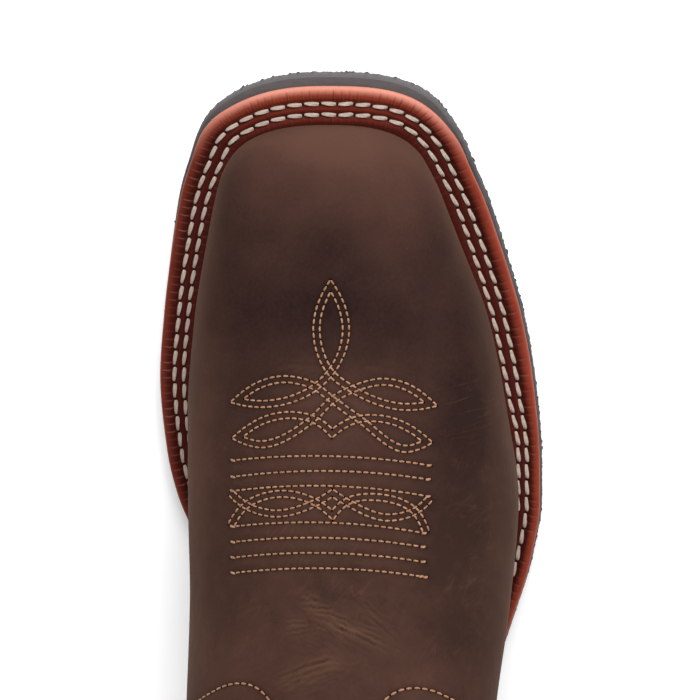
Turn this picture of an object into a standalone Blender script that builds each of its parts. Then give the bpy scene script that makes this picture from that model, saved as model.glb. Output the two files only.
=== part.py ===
"""Western boot for the right foot: broad square toe, welted rubber sole, stacked heel, pull-on shaft.

The boot stands on its heel and forefoot. +Y points from heel to toe, +X to the outer side of the
foot, +Z up. All sizes below are in millimetres, measured back from the toe tip of the outsole.
"""

import math

import bmesh
import bpy
import numpy as np
from mathutils import Vector

MM = 0.001

# Driving sizes
SOLE_LENGTH = 305.0
GAP = 0.3
WELT_THICKNESS = 2.9
WELT_LIP_RISE = 0.7
WELT_LIP_WIDTH = 3.6
WALL = 2.2
OVERLAY_THICKNESS = 1.4
INSOLE_PROUD = 3.0
INSOLE_STEP = 1.5
WELT_UNDER_WALL = 2.0
HEEL_BREAST = 224.0
HEEL_CAP_HEIGHT = 7.0
HEEL_TAPER = 0.09  # how much narrower and shorter the heel is at the floor
HEEL_LEAN = 2.0  # how much further back its breast is there
STACK_SHARE = 0.8  # how far down the heel's taper the stack ends
COLLAR_EAR_RISE = 27.0
COLLAR_EAR_LENGTH = 120.0

# The outsole's plan outline: half-widths each side of the boot's axis before the ends are rounded
OUTLINE = {
    "from_toe": (0, 10, 24, 36, 48, 60, 72, 92, 115, 128, 145, 165, 190, 215, 240, 265, 285, 305),
    "inner": (37.0, 41.2, 45.2, 49.0, 51.4, 53.4, 54.9, 56.4, 54.4, 51.4, 44.0, 35.5, 29.0, 28.0, 30.5,
              33.5, 34.5, 34.0),
    "outer": (31.8, 31.9, 35.9, 40.8, 44.8, 48.5, 51.8, 55.4, 57.5, 57.7, 55.2, 49.2, 40.8, 36.0, 34.8,
              35.0, 35.0, 34.0),
}
TOE_ROUND_LENGTH = 24.0
TOE_SQUARENESS = 2.62
HEEL_ROUND_LENGTH = 36.0
HEEL_SQUARENESS = 2.15

# The outsole's side profile: toe spring, flat tread under the ball, arch and heel seat
SOLE_PROFILE = {
    "from_toe": (0, 15, 30, 50, 70, 88, 128, 150, 175, 200, 225, 250, 280, 305),
    "bottom": (12.0, 8.6, 5.6, 2.6, 0.7, 0.0, 0.0, 2.2, 9.0, 18.5, 26.5, 30.5, 32.5, 33.5),
    "thickness": (7.5, 7.5, 7.5, 7.5, 7.5, 7.5, 7.5, 6.8, 6.0, 5.5, 5.5, 5.5, 5.5, 5.5),
}

# How far the outsole stands out beyond the welt
WELT_INSET = {
    "from_toe": (0, 7, 13, 20, 30, 110, 305),
    "inset": (3.2, 2.7, 1.8, 1.1, 0.9, 1.0, 1.2),
}
# Sections of edges, from below: how far in from the sole's outline, and how far up as a share of its
# thickness
OUTSOLE_EDGE = ((2.2, 0.0), (0.5, 0.16), (0.0, 0.35), (0.2, 0.86), (0.8, 1.0))
WELT_FOOT_INSET = 0.2  # how far in the welt's foot is from its widest line
WELT_SIDE = 2.6  # height of that line
WELT_TOP_ROUND = 0.9
WELT_LIP_SLOPE = 0.6
HEEL_INSET = 1.2
HEEL_SETBACK = 0.8
HEEL_STEPS = 15
STACK_RINGS = (0.0, 0.5, 1.0)
CAP_CHAMFER = 1.0
CAP_CHAMFER_INSET = 0.8
CAP_CHAMFER_SHARE = 0.97  # how far down the heel's taper the chamfer starts

# Sections of the upper, toe to collar. Each is an arch in a plane across the boot. It stands on the
# base point, which runs along the welt to the heel and up the back, and its crown is the top point,
# which runs over the toe, along the instep and up the front. Half-widths are from the boot's axis.
# A base half-width under zero means that the two feet of the arch have met, at the heel's back.
SECTION_COLUMNS = (
    "base_from_toe", "base_lift", "top_from_toe", "top_height", "ridge",
    "inner_base", "outer_base", "inner_wide", "outer_wide", "wide_at", "squareness",
)
SECTIONS = (
    (32.5, 0, 16.2, 19.7, -3.2, 31.6, 22.0, 31.6, 22.0, 0.02, 2.5),
    (33.3, 0, 15.6, 28.0, -3.2, 31.9, 22.4, 32.2, 22.7, 0.10, 2.5),
    (34.8, 0, 17.2, 36.0, -3.2, 32.3, 23.1, 32.9, 23.7, 0.18, 2.6),
    (37.5, 0, 22.0, 42.0, -3.2, 33.4, 24.8, 34.2, 25.7, 0.24, 2.7),
    (42.5, 0, 31.0, 46.0, -3.2, 34.9, 27.3, 35.7, 28.4, 0.28, 2.7),
    (52.0, 0, 47.0, 49.3, -3.0, 37.0, 31.6, 38.0, 32.8, 0.30, 2.6),
    (72.0, 0, 70.0, 55.0, -2.0, 39.8, 38.6, 41.4, 40.5, 0.30, 2.4),
    (97.0, 0, 98.0, 64.5, -1.0, 40.8, 43.6, 43.2, 45.9, 0.30, 2.25),
    (122.0, 0, 127.0, 76.0, 0.0, 38.2, 45.8, 42.8, 49.7, 0.32, 2.1),
    (148.0, 0, 153.0, 89.0, 0.0, 32.2, 42.4, 41.6, 47.9, 0.36, 2.05),
    (178.0, 0, 174.0, 102.0, 0.0, 25.2, 35.2, 41.3, 44.6, 0.42, 2.0),
    (210.0, 0, 187.0, 114.5, 0.0, 21.8, 29.6, 40.2, 42.6, 0.45, 2.0),
    (243.0, 0, 194.0, 127.0, 0.0, 24.5, 27.4, 39.0, 40.6, 0.45, 2.0),
    (272.0, 0, 197.5, 139.0, 0.0, 25.4, 25.8, 38.6, 39.8, 0.45, 2.0),
    (290.0, 0, 199.0, 149.0, 0.0, 18.0, 18.0, 38.2, 39.2, 0.46, 2.0),
    (299.5, 0, 199.5, 157.0, 0.0, 0.0, 0.0, 38.4, 39.2, 0.48, 2.0),
    (302.0, 14, 199.3, 166.0, 0.0, -18.0, -18.0, 38.6, 39.2, 0.49, 2.0),
    (301.5, 32, 198.3, 177.0, 0.0, 0.0, 0.0, 38.8, 39.3, 0.50, 2.0),
    (298.0, 56, 196.3, 191.0, 0.0, 0.0, 0.0, 39.2, 39.6, 0.50, 2.0),
    (296.0, 84, 193.5, 207.0, 0.0, 0.0, 0.0, 40.2, 40.6, 0.50, 2.0),
    (297.5, 116, 190.0, 226.0, 0.0, 0.0, 0.0, 42.0, 42.3, 0.50, 2.0),
    (303.0, 156, 186.0, 249.0, 0.0, 0.0, 0.0, 44.4, 44.5, 0.50, 2.0),
    (309.0, 200, 182.0, 272.0, 0.0, 0.0, 0.0, 46.6, 46.6, 0.50, 2.0),
    (314.0, 246, 178.5, 292.0, 0.0, 0.0, 0.0, 48.0, 48.0, 0.50, 2.0),
)
HEEL_CORNER = 15  # the row where the arch's two feet meet at the back of the heel
COUNTER_EXTRA_ROWS = (14.8, 15.35)  # mesh rows added where the counter turns round the heel's back
COUNTER_PEAK_ROWS = (0.25, 0.08)  # mesh rows added below its peak
COUNTER_GAP = 0.4
COUNTER_FRONT = 11  # the row that the counter's front edges and the vamp's rear edges run along
VAMP_SPLIT_ROW = 9  # the row from which the vamp's mesh rows fan out to its edge
VAMP_FAN_STEPS = 5
TONGUE_COLUMNS = (0.41, 0.447, 0.476, 0.488)  # mesh columns added along the tongue's edge

# Edge of the vamp, over half the boot: how far round from the side feather to the ridge, and the
# section that the edge has reached there, counted in rows of the table above
VAMP_EDGE = {
    "round": (0.0, 0.10, 0.17, 0.24, 0.32, 0.385, 0.425, 0.45, 0.47, 0.487, 0.5),
    "row": (11.0, 11.0, 10.9, 10.5, 10.05, 9.8, 10.25, 11.1, 13.0, 15.6, 16.6),
}
# Top edge of the counter, seen from the side
COUNTER_TOP = {
    "from_toe": (195, 215, 240, 265, 285, 302),
    "height": (58.0, 61.0, 67.0, 78.0, 92.0, 110.0),
}
# The side seams, seen from the side: straight from the vamp's corner to the pull strap
SIDE_SEAM = {"height": (60.0, 245.0), "from_toe": (203.0, 246.0)}

# Trim of the shaft
BINDING_DROP = 8.0
BINDING_THICKNESS = 1.2
STRAP_WIDTH = 27.0
STRAP_THICKNESS = 2.0
STRAP_LEG = ((62.0, 0.3), (44.0, 0.4), (27.0, 0.8), (12.0, 2.6))  # below the collar, off the wall
STRAP_LOOP_HALF = 6.4
STRAP_LOOP_RISE = 18.0
STRAP_LOOP_STEPS = 9
STRAP_COLUMNS = 5
PIPING_WIDTH = 5.0
PIPING_HEIGHT = 2.0
PIPING_SECTION = ((-1, 0), (-0.6, 0.8), (0, 1), (0.6, 0.8), (1, 0))  # shares of half its width and height
SIDES = {"inner": 0.25, "outer": 0.75}  # how far round a section its two sides lie
SEAM_END_GAP = 1.5
SEAM_START_ROWS = 0.25  # how far above the counter's front row the side seam starts

EDGE_CLEARANCE = 0.8  # how far the overlays' lower edges stay above the welt
EDGE_ROW = 0.22  # the row where the vamp starts, just above the welt at the toe

# Mesh steps
SHAFT_ROW = 17
SECTION_STEPS = (1, 1, 1, 1, 1, 2, 2, 2, 2, 2, 2, 2, 2, 2, 2, 1, 2, 2, 2, 1, 2, 1, 2)
ROUND_STEPS = 28
SOLE_STEP = 11.0
END_STEPS = 8
FEATHER_STEPS = 20
COUNTER_STEPS = 8
COUNTER_GAP_ROWS = 0.02
ARCH_STEPS = 60

# Searches along the upper: how far round from its foot or its side each looks, and in how many places
FOOT_SEARCH = np.linspace(0, 0.15, 151)
COUNTER_SEARCH = np.linspace(0, 0.3, 301)
SEAM_SEARCH = np.linspace(-0.21, 0.21, 421)
BACK_SEARCH_STEPS = 801
COLLAR_SEARCH_STEPS = 121

COLOURS = {
    "brown_leather": ((0.066, 0.036, 0.026, 1), 0.55),
    "welt_leather": ((0.20, 0.035, 0.018, 1), 0.50),
    "charcoal_rubber": ((0.038, 0.035, 0.036, 1), 0.70),
    "dark_stack": ((0.030, 0.020, 0.016, 1), 0.60),
    "tan_lining": ((0.33, 0.20, 0.11, 1), 0.75),
}


# Curves through short tables


def smooth_curve(places, values):
    """A curve through the values that never overshoots between two of them."""
    x = np.asarray(places, float)
    y = np.asarray(values, float)
    step = np.diff(x)
    slope = np.diff(y) / step
    tangent = np.zeros_like(y)
    tangent[0], tangent[-1] = slope[0], slope[-1]
    for i in range(1, len(x) - 1):
        if slope[i - 1] * slope[i] > 0:
            before = 2 * step[i] + step[i - 1]
            after = step[i] + 2 * step[i - 1]
            tangent[i] = (before + after) / (before / slope[i - 1] + after / slope[i])

    def curve(place):
        p = np.clip(np.asarray(place, float), x[0], x[-1])
        i = np.clip(np.searchsorted(x, p, side="right") - 1, 0, len(step) - 1)
        u = (p - x[i]) / step[i]
        rise = y[i] * (1 + 2 * u) * (1 - u) ** 2 + y[i + 1] * u ** 2 * (3 - 2 * u)
        bend = tangent[i] * u * (1 - u) ** 2 - tangent[i + 1] * u ** 2 * (1 - u)
        return rise + step[i] * bend

    return curve


outline_inner = smooth_curve(OUTLINE["from_toe"], OUTLINE["inner"])
outline_outer = smooth_curve(OUTLINE["from_toe"], OUTLINE["outer"])
sole_bottom = smooth_curve(SOLE_PROFILE["from_toe"], SOLE_PROFILE["bottom"])
sole_thickness = smooth_curve(SOLE_PROFILE["from_toe"], SOLE_PROFILE["thickness"])
welt_inset = smooth_curve(WELT_INSET["from_toe"], WELT_INSET["inset"])
vamp_edge_row = smooth_curve(VAMP_EDGE["round"], VAMP_EDGE["row"])
counter_top = smooth_curve(COUNTER_TOP["from_toe"], COUNTER_TOP["height"])
side_seam_place = smooth_curve(SIDE_SEAM["height"], SIDE_SEAM["from_toe"])


def section_column(name):
    values = [row[SECTION_COLUMNS.index(name)] for row in SECTIONS]
    return smooth_curve(range(len(SECTIONS)), values)


section = {name: section_column(name) for name in SECTION_COLUMNS}


def sole_top(from_toe):
    return sole_bottom(from_toe) + sole_thickness(from_toe)


def welt_bed(from_toe):
    """Height of the welt beside its lip, where the upper stands."""
    return sole_top(from_toe) + GAP + WELT_THICKNESS


def end_rounding(from_toe):
    """The share of the half-width that the rounded toe and heel leave at a station."""
    toe = np.clip(1 - from_toe / TOE_ROUND_LENGTH, 0, 1)
    heel = np.clip(1 - (SOLE_LENGTH - from_toe) / HEEL_ROUND_LENGTH, 0, 1)
    toe_share = (1 - toe ** TOE_SQUARENESS) ** (1 / TOE_SQUARENESS)
    heel_share = (1 - heel ** HEEL_SQUARENESS) ** (1 / HEEL_SQUARENESS)
    return toe_share * heel_share


# The sole's outline as a closed ring


def sole_stations():
    """Stations along the sole, closer together towards the tips of the toe and heel."""
    turn = np.linspace(0, math.pi / 2, END_STEPS + 1)
    toe = TOE_ROUND_LENGTH * (1 - np.cos(turn))
    heel = SOLE_LENGTH - HEEL_ROUND_LENGTH * (1 - np.cos(turn[::-1]))
    count = round((heel[0] - toe[-1]) / SOLE_STEP)
    middle = np.linspace(toe[-1], heel[0], count + 1)[1:-1]
    return np.concatenate([toe, middle, heel])


def outline_ring(stations):
    """Ring of (x, from_toe): down the inner side from toe to heel and back up the outer side."""
    share = end_rounding(stations)
    middle = (outline_outer(stations) - outline_inner(stations)) / 2
    half = (outline_outer(stations) + outline_inner(stations)) / 2 * share
    inner = np.column_stack([middle - half, stations])
    outer = np.column_stack([middle + half, stations])
    return np.vstack([inner, outer[-2:0:-1]])


def inward(ring):
    """Unit directions in the plan, square to a closed ring and towards its inside."""
    along = np.roll(ring, -1, axis=0) - np.roll(ring, 1, axis=0)
    along /= np.linalg.norm(along, axis=1)[:, None]
    return np.column_stack([along[:, 1], -along[:, 0]])


def placed(x, from_toe, height):
    """Points in metres, with the middle of the sole's length at Y = 0."""
    y = SOLE_LENGTH / 2 - np.asarray(from_toe, float)
    return np.stack(np.broadcast_arrays(x, y, height), axis=-1) * MM


# The upper's surface


def half_section(base, wide, ridge, height, wide_at, squareness, count):
    """Half an arch: (distance out from the axis, rise), from its foot to its crown."""
    level = wide_at * height
    foot_round = 2 - base / max(wide, 1e-6)
    turn = np.linspace(0, 1, ARCH_STEPS)
    below = 1 - np.cos(turn * math.pi / 2)
    foot_out = base + (wide - base) * (1 - (1 - below) ** 2) ** (1 / foot_round)
    angle = turn[1:] * math.pi / 2
    crown_out = (wide + ridge) * np.cos(angle).clip(0) ** (2 / squareness) - ridge
    crown_rise = level + (height - level) * np.sin(angle) ** (2 / squareness)
    out = np.concatenate([foot_out, crown_out])
    rise = np.concatenate([level * below, crown_rise])
    length = np.concatenate([[0], np.cumsum(np.hypot(np.diff(out), np.diff(rise)))])
    even = np.linspace(0, length[-1], count + 1)
    return np.interp(even, length, out), np.interp(even, length, rise)


def section_points(row, count):
    """An arch as (x, from_toe, height), from the inner foot over the crown to the outer foot."""
    at = {name: float(curve(row)) for name, curve in section.items()}
    base = np.array([at["base_from_toe"], welt_bed(at["base_from_toe"]) + GAP + at["base_lift"]])
    top = np.array([at["top_from_toe"], at["top_height"]])
    height = np.linalg.norm(top - base)
    way = (top - base) / height
    shape = (height, at["wide_at"], at["squareness"], count // 2)
    inner = half_section(max(at["inner_base"], 0), at["inner_wide"], at["ridge"], *shape)
    outer = half_section(max(at["outer_base"], 0), at["outer_wide"], -at["ridge"], *shape)
    x = np.concatenate([-inner[0], outer[0][-2::-1]])
    rise = np.concatenate([inner[1], outer[1][-2::-1]])
    ear = np.sin(np.linspace(0, 2 * math.pi, count + 1)) ** 2
    lift = COLLAR_EAR_RISE * ear * ear_share(row)
    return np.column_stack([x, base[0] + rise * way[0], base[1] + rise * way[1] + lift])


def ear_share(row):
    """How much of the collar's rise at the sides a section takes: none low down, all at the top."""
    last = len(SECTIONS) - 1
    below = np.clip((row_distance(last) - row_distance(row)) / COLLAR_EAR_LENGTH, 0, 1)
    return (1 - below) ** 2 * (1 + 2 * below)


def row_lengths():
    """Mean distance from one section to the next along the base and the crown."""
    base = np.array([(r[0], welt_bed(r[0]) + r[1]) for r in SECTIONS])
    top = np.array([(r[2], r[3]) for r in SECTIONS])
    steps = np.linalg.norm(np.diff(base, axis=0), axis=1) + np.linalg.norm(np.diff(top, axis=0), axis=1)
    return np.concatenate([[0], np.cumsum(steps / 2)])


ROW_LENGTHS = row_lengths()


def row_distance(row):
    return np.interp(row, np.arange(len(SECTIONS)), ROW_LENGTHS)


FINE_ROUND = 192
FINE_ROWS_PER_SECTION = 8
FINE = np.array([
    section_points(i / FINE_ROWS_PER_SECTION, FINE_ROUND)
    for i in range((len(SECTIONS) - 1) * FINE_ROWS_PER_SECTION + 1)
])


def fine_normals():
    """Outward directions on the fine grid of the upper's surface."""
    along = np.gradient(FINE, axis=0)
    across = np.gradient(FINE, axis=1)
    closed = HEEL_CORNER * FINE_ROWS_PER_SECTION
    seam = (FINE[closed:, 1] - FINE[closed:, -2]) / 2
    across[closed:, 0] = seam
    across[closed:, -1] = seam
    mirror = np.array([1, -1, 1])
    out = np.cross(along * mirror, across * mirror)
    return out / np.linalg.norm(out, axis=2)[..., None].clip(1e-9)


FINE_OUT = fine_normals()


def grid_value(grid, row, around):
    """A value read from the fine grid at a row of the table and a place round the section, 0 to 1."""
    i = np.clip(np.asarray(row, float) * FINE_ROWS_PER_SECTION, 0, len(grid) - 1)
    j = np.clip(np.asarray(around, float) * FINE_ROUND, 0, FINE_ROUND)
    i0 = np.minimum(i.astype(int), len(grid) - 2)
    j0 = np.minimum(j.astype(int), FINE_ROUND - 1)
    u = (i - i0)[..., None]
    v = (j - j0)[..., None]
    near = grid[i0, j0] * (1 - v) + grid[i0, j0 + 1] * v
    far = grid[i0 + 1, j0] * (1 - v) + grid[i0 + 1, j0 + 1] * v
    return near * (1 - u) + far * u


def on_upper(row, around, out=0.0):
    """Points in metres on the upper's surface, or this far out from it."""
    row, around, out = np.broadcast_arrays(row, around, out)
    place = grid_value(FINE, row, around)
    way = grid_value(FINE_OUT, row, around)
    way /= np.linalg.norm(way, axis=-1)[..., None]
    return placed(place[..., 0], place[..., 1], place[..., 2]) + way * out[..., None] * MM


def row_below_collar(around, drop):
    """The rows that lie this far below the collar, along the surface, at places round it."""
    rows = np.linspace(SHAFT_ROW, len(SECTIONS) - 1, COLLAR_SEARCH_STEPS)
    lines = on_upper(rows[:, None], np.asarray(around)[None, :]) / MM
    steps = np.linalg.norm(np.diff(lines, axis=0), axis=2)
    below = np.vstack([np.cumsum(steps[::-1], axis=0)[::-1], np.zeros(len(around))])
    return np.array([np.interp(-drop, -below[:, i], rows) for i in range(len(around))])


def welt_surface(x, from_toe):
    """Height of the welt under points of the plan, its lip included."""
    ring = outline_ring(sole_stations())
    apart = np.hypot(x[:, None] - ring[:, 0], from_toe[:, None] - ring[:, 1]).min(axis=1)
    over_lip = apart < welt_inset(from_toe) + WELT_LIP_WIDTH + 2 * GAP
    return welt_bed(from_toe) + np.where(over_lip, WELT_LIP_RISE, 0)


def lowest_round(row):
    """The least way round, on either side, at which an overlay's edge clears the welt."""
    clear = np.ones(len(FOOT_SEARCH), bool)
    for around in (FOOT_SEARCH, 1 - FOOT_SEARCH):
        for out in (GAP, GAP + OVERLAY_THICKNESS):
            corner = on_upper(row, around, out) / MM
            from_toe = SOLE_LENGTH / 2 - corner[:, 1]
            clear &= corner[:, 2] > welt_surface(corner[:, 0], from_toe) + EDGE_CLEARANCE
    return FOOT_SEARCH[np.argmax(clear)]


# Mesh helpers


def material(name):
    if name in bpy.data.materials:
        return bpy.data.materials[name]
    colour, roughness = COLOURS[name]
    made = bpy.data.materials.new(name)
    made.use_nodes = True
    shader = made.node_tree.nodes["Principled BSDF"]
    shader.inputs["Base Color"].default_value = colour
    shader.inputs["Roughness"].default_value = roughness
    shader.inputs["Metallic"].default_value = 0.0
    return made


def add_object(name, mesh, material_name, collection):
    mesh.materials.append(material(material_name))
    mesh.shade_smooth()
    mesh.set_sharp_from_angle(angle=math.radians(40))
    made = bpy.data.objects.new(name, mesh)
    collection.objects.link(made)
    return made


def loft(name, sections, closed_round=False, closed_along=False, caps=False):
    """Mesh between successive sections of equally many points, with flat ladder caps if asked."""
    mesh = bpy.data.meshes.new(name)
    shape = bmesh.new()
    rings = [[shape.verts.new(point) for point in line] for line in sections]
    count = len(rings[0])
    across = range(count if closed_round else count - 1)
    along = range(len(rings) if closed_along else len(rings) - 1)
    for i in along:
        near, far = rings[i], rings[(i + 1) % len(rings)]
        for j in across:
            k = (j + 1) % count
            shape.faces.new((near[j], far[j], far[k], near[k]))
    if caps:
        ladder(shape, rings[0])
        ladder(shape, rings[-1])
    bmesh.ops.remove_doubles(shape, verts=shape.verts, dist=1e-6)
    bmesh.ops.dissolve_degenerate(shape, edges=shape.edges, dist=1e-7)
    bmesh.ops.triangulate(shape, faces=shape.faces, quad_method="SHORT_EDGE")
    if caps or closed_along:
        bmesh.ops.recalc_face_normals(shape, faces=shape.faces)
    shape.to_mesh(mesh)
    shape.free()
    return mesh


def ladder(shape, ring):
    """Fills a ring with rungs from one side to the other, so that a bent plate keeps its bend."""
    last = len(ring) - 1
    for i in range(len(ring) // 2):
        corners = (ring[i], ring[i + 1], ring[(last - i) % len(ring)], ring[(last + 1 - i) % len(ring)])
        kept = [c for n, c in enumerate(corners) if c not in corners[:n]]
        if len(kept) > 2:
            shape.faces.new(kept)


def thicken(obj, thickness, offset):
    """Solidify to a closed wall: offset -1 keeps the surface outside, 1 keeps it inside."""
    wall = obj.modifiers.new("wall", "SOLIDIFY")
    wall.thickness = thickness * MM
    wall.offset = offset
    wall.use_even_offset = False
    return obj


# Sole, welt, heel and insole


def outsole(collection):
    """Rubber sole: side profile from the tread's chamfer up to the edge under the welt."""
    ring = outline_ring(sole_stations())
    way = inward(ring)
    rings = []
    for inset, share in OUTSOLE_EDGE:
        edge = ring + way * inset
        height = sole_bottom(edge[:, 1]) + sole_thickness(edge[:, 1]) * share
        rings.append(placed(edge[:, 0], edge[:, 1], height))
    return add_object("outsole", loft("outsole", rings, closed_round=True, caps=True),
                      "charcoal_rubber", collection)


def feather_loop(inset):
    """The upper's lower edge as a ring of (x, from_toe) from the heel's back, this far in from it."""
    rows = np.linspace(HEEL_CORNER, 0, 2 * HEEL_CORNER + 1)
    rounds = np.linspace(0, 1, FEATHER_STEPS + 1)[1:-1]
    row = np.concatenate([rows, np.zeros(len(rounds)), rows[:0:-1]])
    around = np.concatenate([np.ones(len(rows)), rounds[::-1], np.zeros(len(rows) - 1)])
    edge = on_upper(row, around)[:, :2] / MM
    ring = np.column_stack([edge[:, 0], SOLE_LENGTH / 2 - edge[:, 1]])
    return ring + inward(ring) * inset


def reach_to(ring, way, loop):
    """How far it is from each point of a ring, along its way in, to a loop inside the ring."""
    start, end = loop, np.roll(loop, -1, axis=0)
    side = end - start
    gap = start[None] - ring[:, None]
    turn = way[:, None, 0] * side[None, :, 1] - way[:, None, 1] * side[None, :, 0]
    turn = np.where(np.abs(turn) < 1e-9, 1e-9, turn)
    far = (gap[..., 0] * side[None, :, 1] - gap[..., 1] * side[None, :, 0]) / turn
    along = (gap[..., 0] * way[:, None, 1] - gap[..., 1] * way[:, None, 0]) / turn
    met = (along >= -1e-6) & (along <= 1 + 1e-6) & (far > 0)
    return np.where(met, far, np.inf).min(axis=1)


def welt(collection):
    """Strip round the sole's edge: a raised lip, then a bed that ends under the upper's wall."""
    ring = outline_ring(sole_stations())
    way = inward(ring)
    edge = welt_inset(ring[:, 1])
    reach = reach_to(ring, way, feather_loop(WELT_UNDER_WALL))
    lip_top = WELT_THICKNESS + WELT_LIP_RISE
    inner_lip = edge + WELT_LIP_WIDTH
    profile = (
        (edge + WELT_FOOT_INSET, 0.0), (edge, WELT_SIDE), (edge + WELT_TOP_ROUND, lip_top),
        (inner_lip - WELT_LIP_SLOPE, lip_top), (inner_lip, WELT_THICKNESS),
        (reach, WELT_THICKNESS), (reach, 0.0),
    )
    rings = []
    for inset, rise in profile:
        line = ring + way * inset[:, None]
        rings.append(placed(line[:, 0], line[:, 1], sole_top(line[:, 1]) + GAP + rise))
    return add_object("welt", loft("welt", rings, closed_round=True, closed_along=True),
                      "welt_leather", collection)


def heel_ring(share):
    """Ring of (x, from_toe) of the heel, narrower and further forward towards the floor."""
    turn = np.linspace(0, math.pi / 2, HEEL_STEPS)
    stations = HEEL_BREAST + (SOLE_LENGTH - HEEL_BREAST) * np.sin(turn)
    middle = (outline_outer(stations) - outline_inner(stations)) / 2
    half = ((outline_outer(stations) + outline_inner(stations)) / 2 - HEEL_INSET) * end_rounding(stations)
    half = half * (1 - HEEL_TAPER * share)
    length = (stations - HEEL_BREAST) * (1 - HEEL_TAPER * share)
    back = HEEL_BREAST + HEEL_LEAN * share + length - HEEL_SETBACK
    inner = np.column_stack([middle - half, back])
    outer = np.column_stack([middle + half, back])
    return np.vstack([outer[::-1], inner[:-1]])


def heel_stack(collection):
    """Block of stacked layers, shaped to the sole above it and flat on the cap below."""
    rings = []
    for share in STACK_RINGS:
        ring = heel_ring(share * STACK_SHARE)
        seat = sole_bottom(heel_ring(0)[:, 1]) - GAP
        height = seat + (HEEL_CAP_HEIGHT + GAP - seat) * share
        rings.append(placed(ring[:, 0], ring[:, 1], height))
    return add_object("heel_stack", loft("heel_stack", rings, closed_round=True, caps=True),
                      "dark_stack", collection)


def heel_cap(collection):
    """Rubber lift on the floor, with a small chamfer."""
    rings = []
    for share, height, inset in (
        (STACK_SHARE, HEEL_CAP_HEIGHT, 0.0), (CAP_CHAMFER_SHARE, CAP_CHAMFER, 0.0),
        (1.0, 0.0, CAP_CHAMFER_INSET),
    ):
        ring = heel_ring(share)
        edge = ring + inward(ring) * inset
        rings.append(placed(edge[:, 0], edge[:, 1], np.full(len(ring), height)))
    return add_object("heel_cap", loft("heel_cap", rings, closed_round=True, caps=True),
                      "charcoal_rubber", collection)


def insole(collection):
    """Footbed: a plate on the outsole inside the welt, stepped out to the upper's wall above it."""
    wide = feather_loop(WALL + 3 * GAP)
    narrow = feather_loop(WALL + 3 * GAP + INSOLE_STEP)
    rings = []
    for ring, base, lift in (
        (narrow, sole_top, GAP), (narrow, welt_bed, GAP), (wide, welt_bed, GAP),
        (wide, welt_bed, GAP + INSOLE_PROUD),
    ):
        rings.append(placed(ring[:, 0], ring[:, 1], base(ring[:, 1]) + lift))
    return add_object("insole", loft("insole", rings, closed_round=True, caps=True),
                      "tan_lining", collection)


# Upper, overlays and trim


def section_rows(first, last):
    """Rows from first to last, with each interval of the table split as SECTION_STEPS says."""
    rows = [i + np.arange(steps) / steps for i, steps in enumerate(SECTION_STEPS)]
    rows = np.concatenate(rows)
    return np.concatenate([[first], rows[(rows > first) & (rows < last)], [last]])


def upper(collection):
    """The whole wall of foot and shaft, open at the collar and along the welt."""
    rows = section_rows(0, len(SECTIONS) - 1)
    around = np.linspace(0, 1, ROUND_STEPS + 1)
    mesh = loft("upper", on_upper(rows[:, None], around[None, :]))
    return thicken(add_object("upper", mesh, "brown_leather", collection), WALL, -1)


def vamp(collection):
    """Leather over the forefoot, its tongue rising up the front of the shaft."""
    columns = np.arange(ROUND_STEPS // 2 + 1) / ROUND_STEPS
    half = np.unique(np.concatenate([columns, TONGUE_COLUMNS]).round(5))
    around = np.concatenate([half, 1 - half[-2::-1]])
    edge = vamp_edge_row(np.minimum(around, 1 - around))
    rows = [np.full(len(around), row) for row in section_rows(EDGE_ROW, VAMP_SPLIT_ROW)]
    rows += [VAMP_SPLIT_ROW + (edge - VAMP_SPLIT_ROW) * s for s in np.linspace(0, 1, VAMP_FAN_STEPS + 1)[1:]]
    rows = np.array(rows)
    lowest = np.array([lowest_round(row) for row in rows[:, 0]])[:, None]
    around = np.clip(around, lowest, 1 - lowest)
    mesh = loft("vamp", on_upper(rows, around, GAP))
    return thicken(add_object("vamp", mesh, "brown_leather", collection), OVERLAY_THICKNESS, 1)


def counter_reach(row):
    """How far round from its foot a section reaches the counter's top edge, on each side."""
    reach = []
    for around in (COUNTER_SEARCH, 1 - COUNTER_SEARCH):
        point = on_upper(row, around) / MM
        above = point[:, 2] - counter_top(SOLE_LENGTH / 2 - point[:, 1])
        reach.append(COUNTER_SEARCH[np.argmax(above >= 0)])
    return reach


def counter_last_row():
    """The row at which the back seam reaches the counter's top edge."""
    rows = np.linspace(HEEL_CORNER, len(SECTIONS) - 1, BACK_SEARCH_STEPS)
    point = on_upper(rows, 0.0) / MM
    return rows[np.argmax(point[:, 2] >= counter_top(SOLE_LENGTH / 2 - point[:, 1]))]


def heel_counter(collection):
    """Leather round the heel, from side to side, rising at the back."""
    last = counter_last_row()
    rows = section_rows(COUNTER_FRONT + COUNTER_GAP_ROWS, last)
    rows = np.unique(np.concatenate([rows, COUNTER_EXTRA_ROWS, last - np.array(COUNTER_PEAK_ROWS)]))
    share = np.linspace(0, 1, COUNTER_STEPS)
    lowest = np.array([lowest_round(row) for row in rows])[:, None]
    highest = np.array([counter_reach(row) for row in rows])
    inner_round = lowest + (highest[:, :1] - lowest) * share
    outer_round = 1 - lowest - (highest[:, 1:] - lowest) * share[::-1]
    inner = on_upper(rows[:, None], inner_round, COUNTER_GAP)
    outer = on_upper(rows[:, None], outer_round, COUNTER_GAP)
    mesh = bpy.data.meshes.new("heel_counter")
    shape = bmesh.new()
    for side in (inner, outer):
        part = loft("counter_side", side)
        shape.from_mesh(part)
        bpy.data.meshes.remove(part)
    bmesh.ops.remove_doubles(shape, verts=shape.verts, dist=2e-5)
    shape.to_mesh(mesh)
    shape.free()
    return thicken(add_object("heel_counter", mesh, "brown_leather", collection), OVERLAY_THICKNESS, 1)


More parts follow.
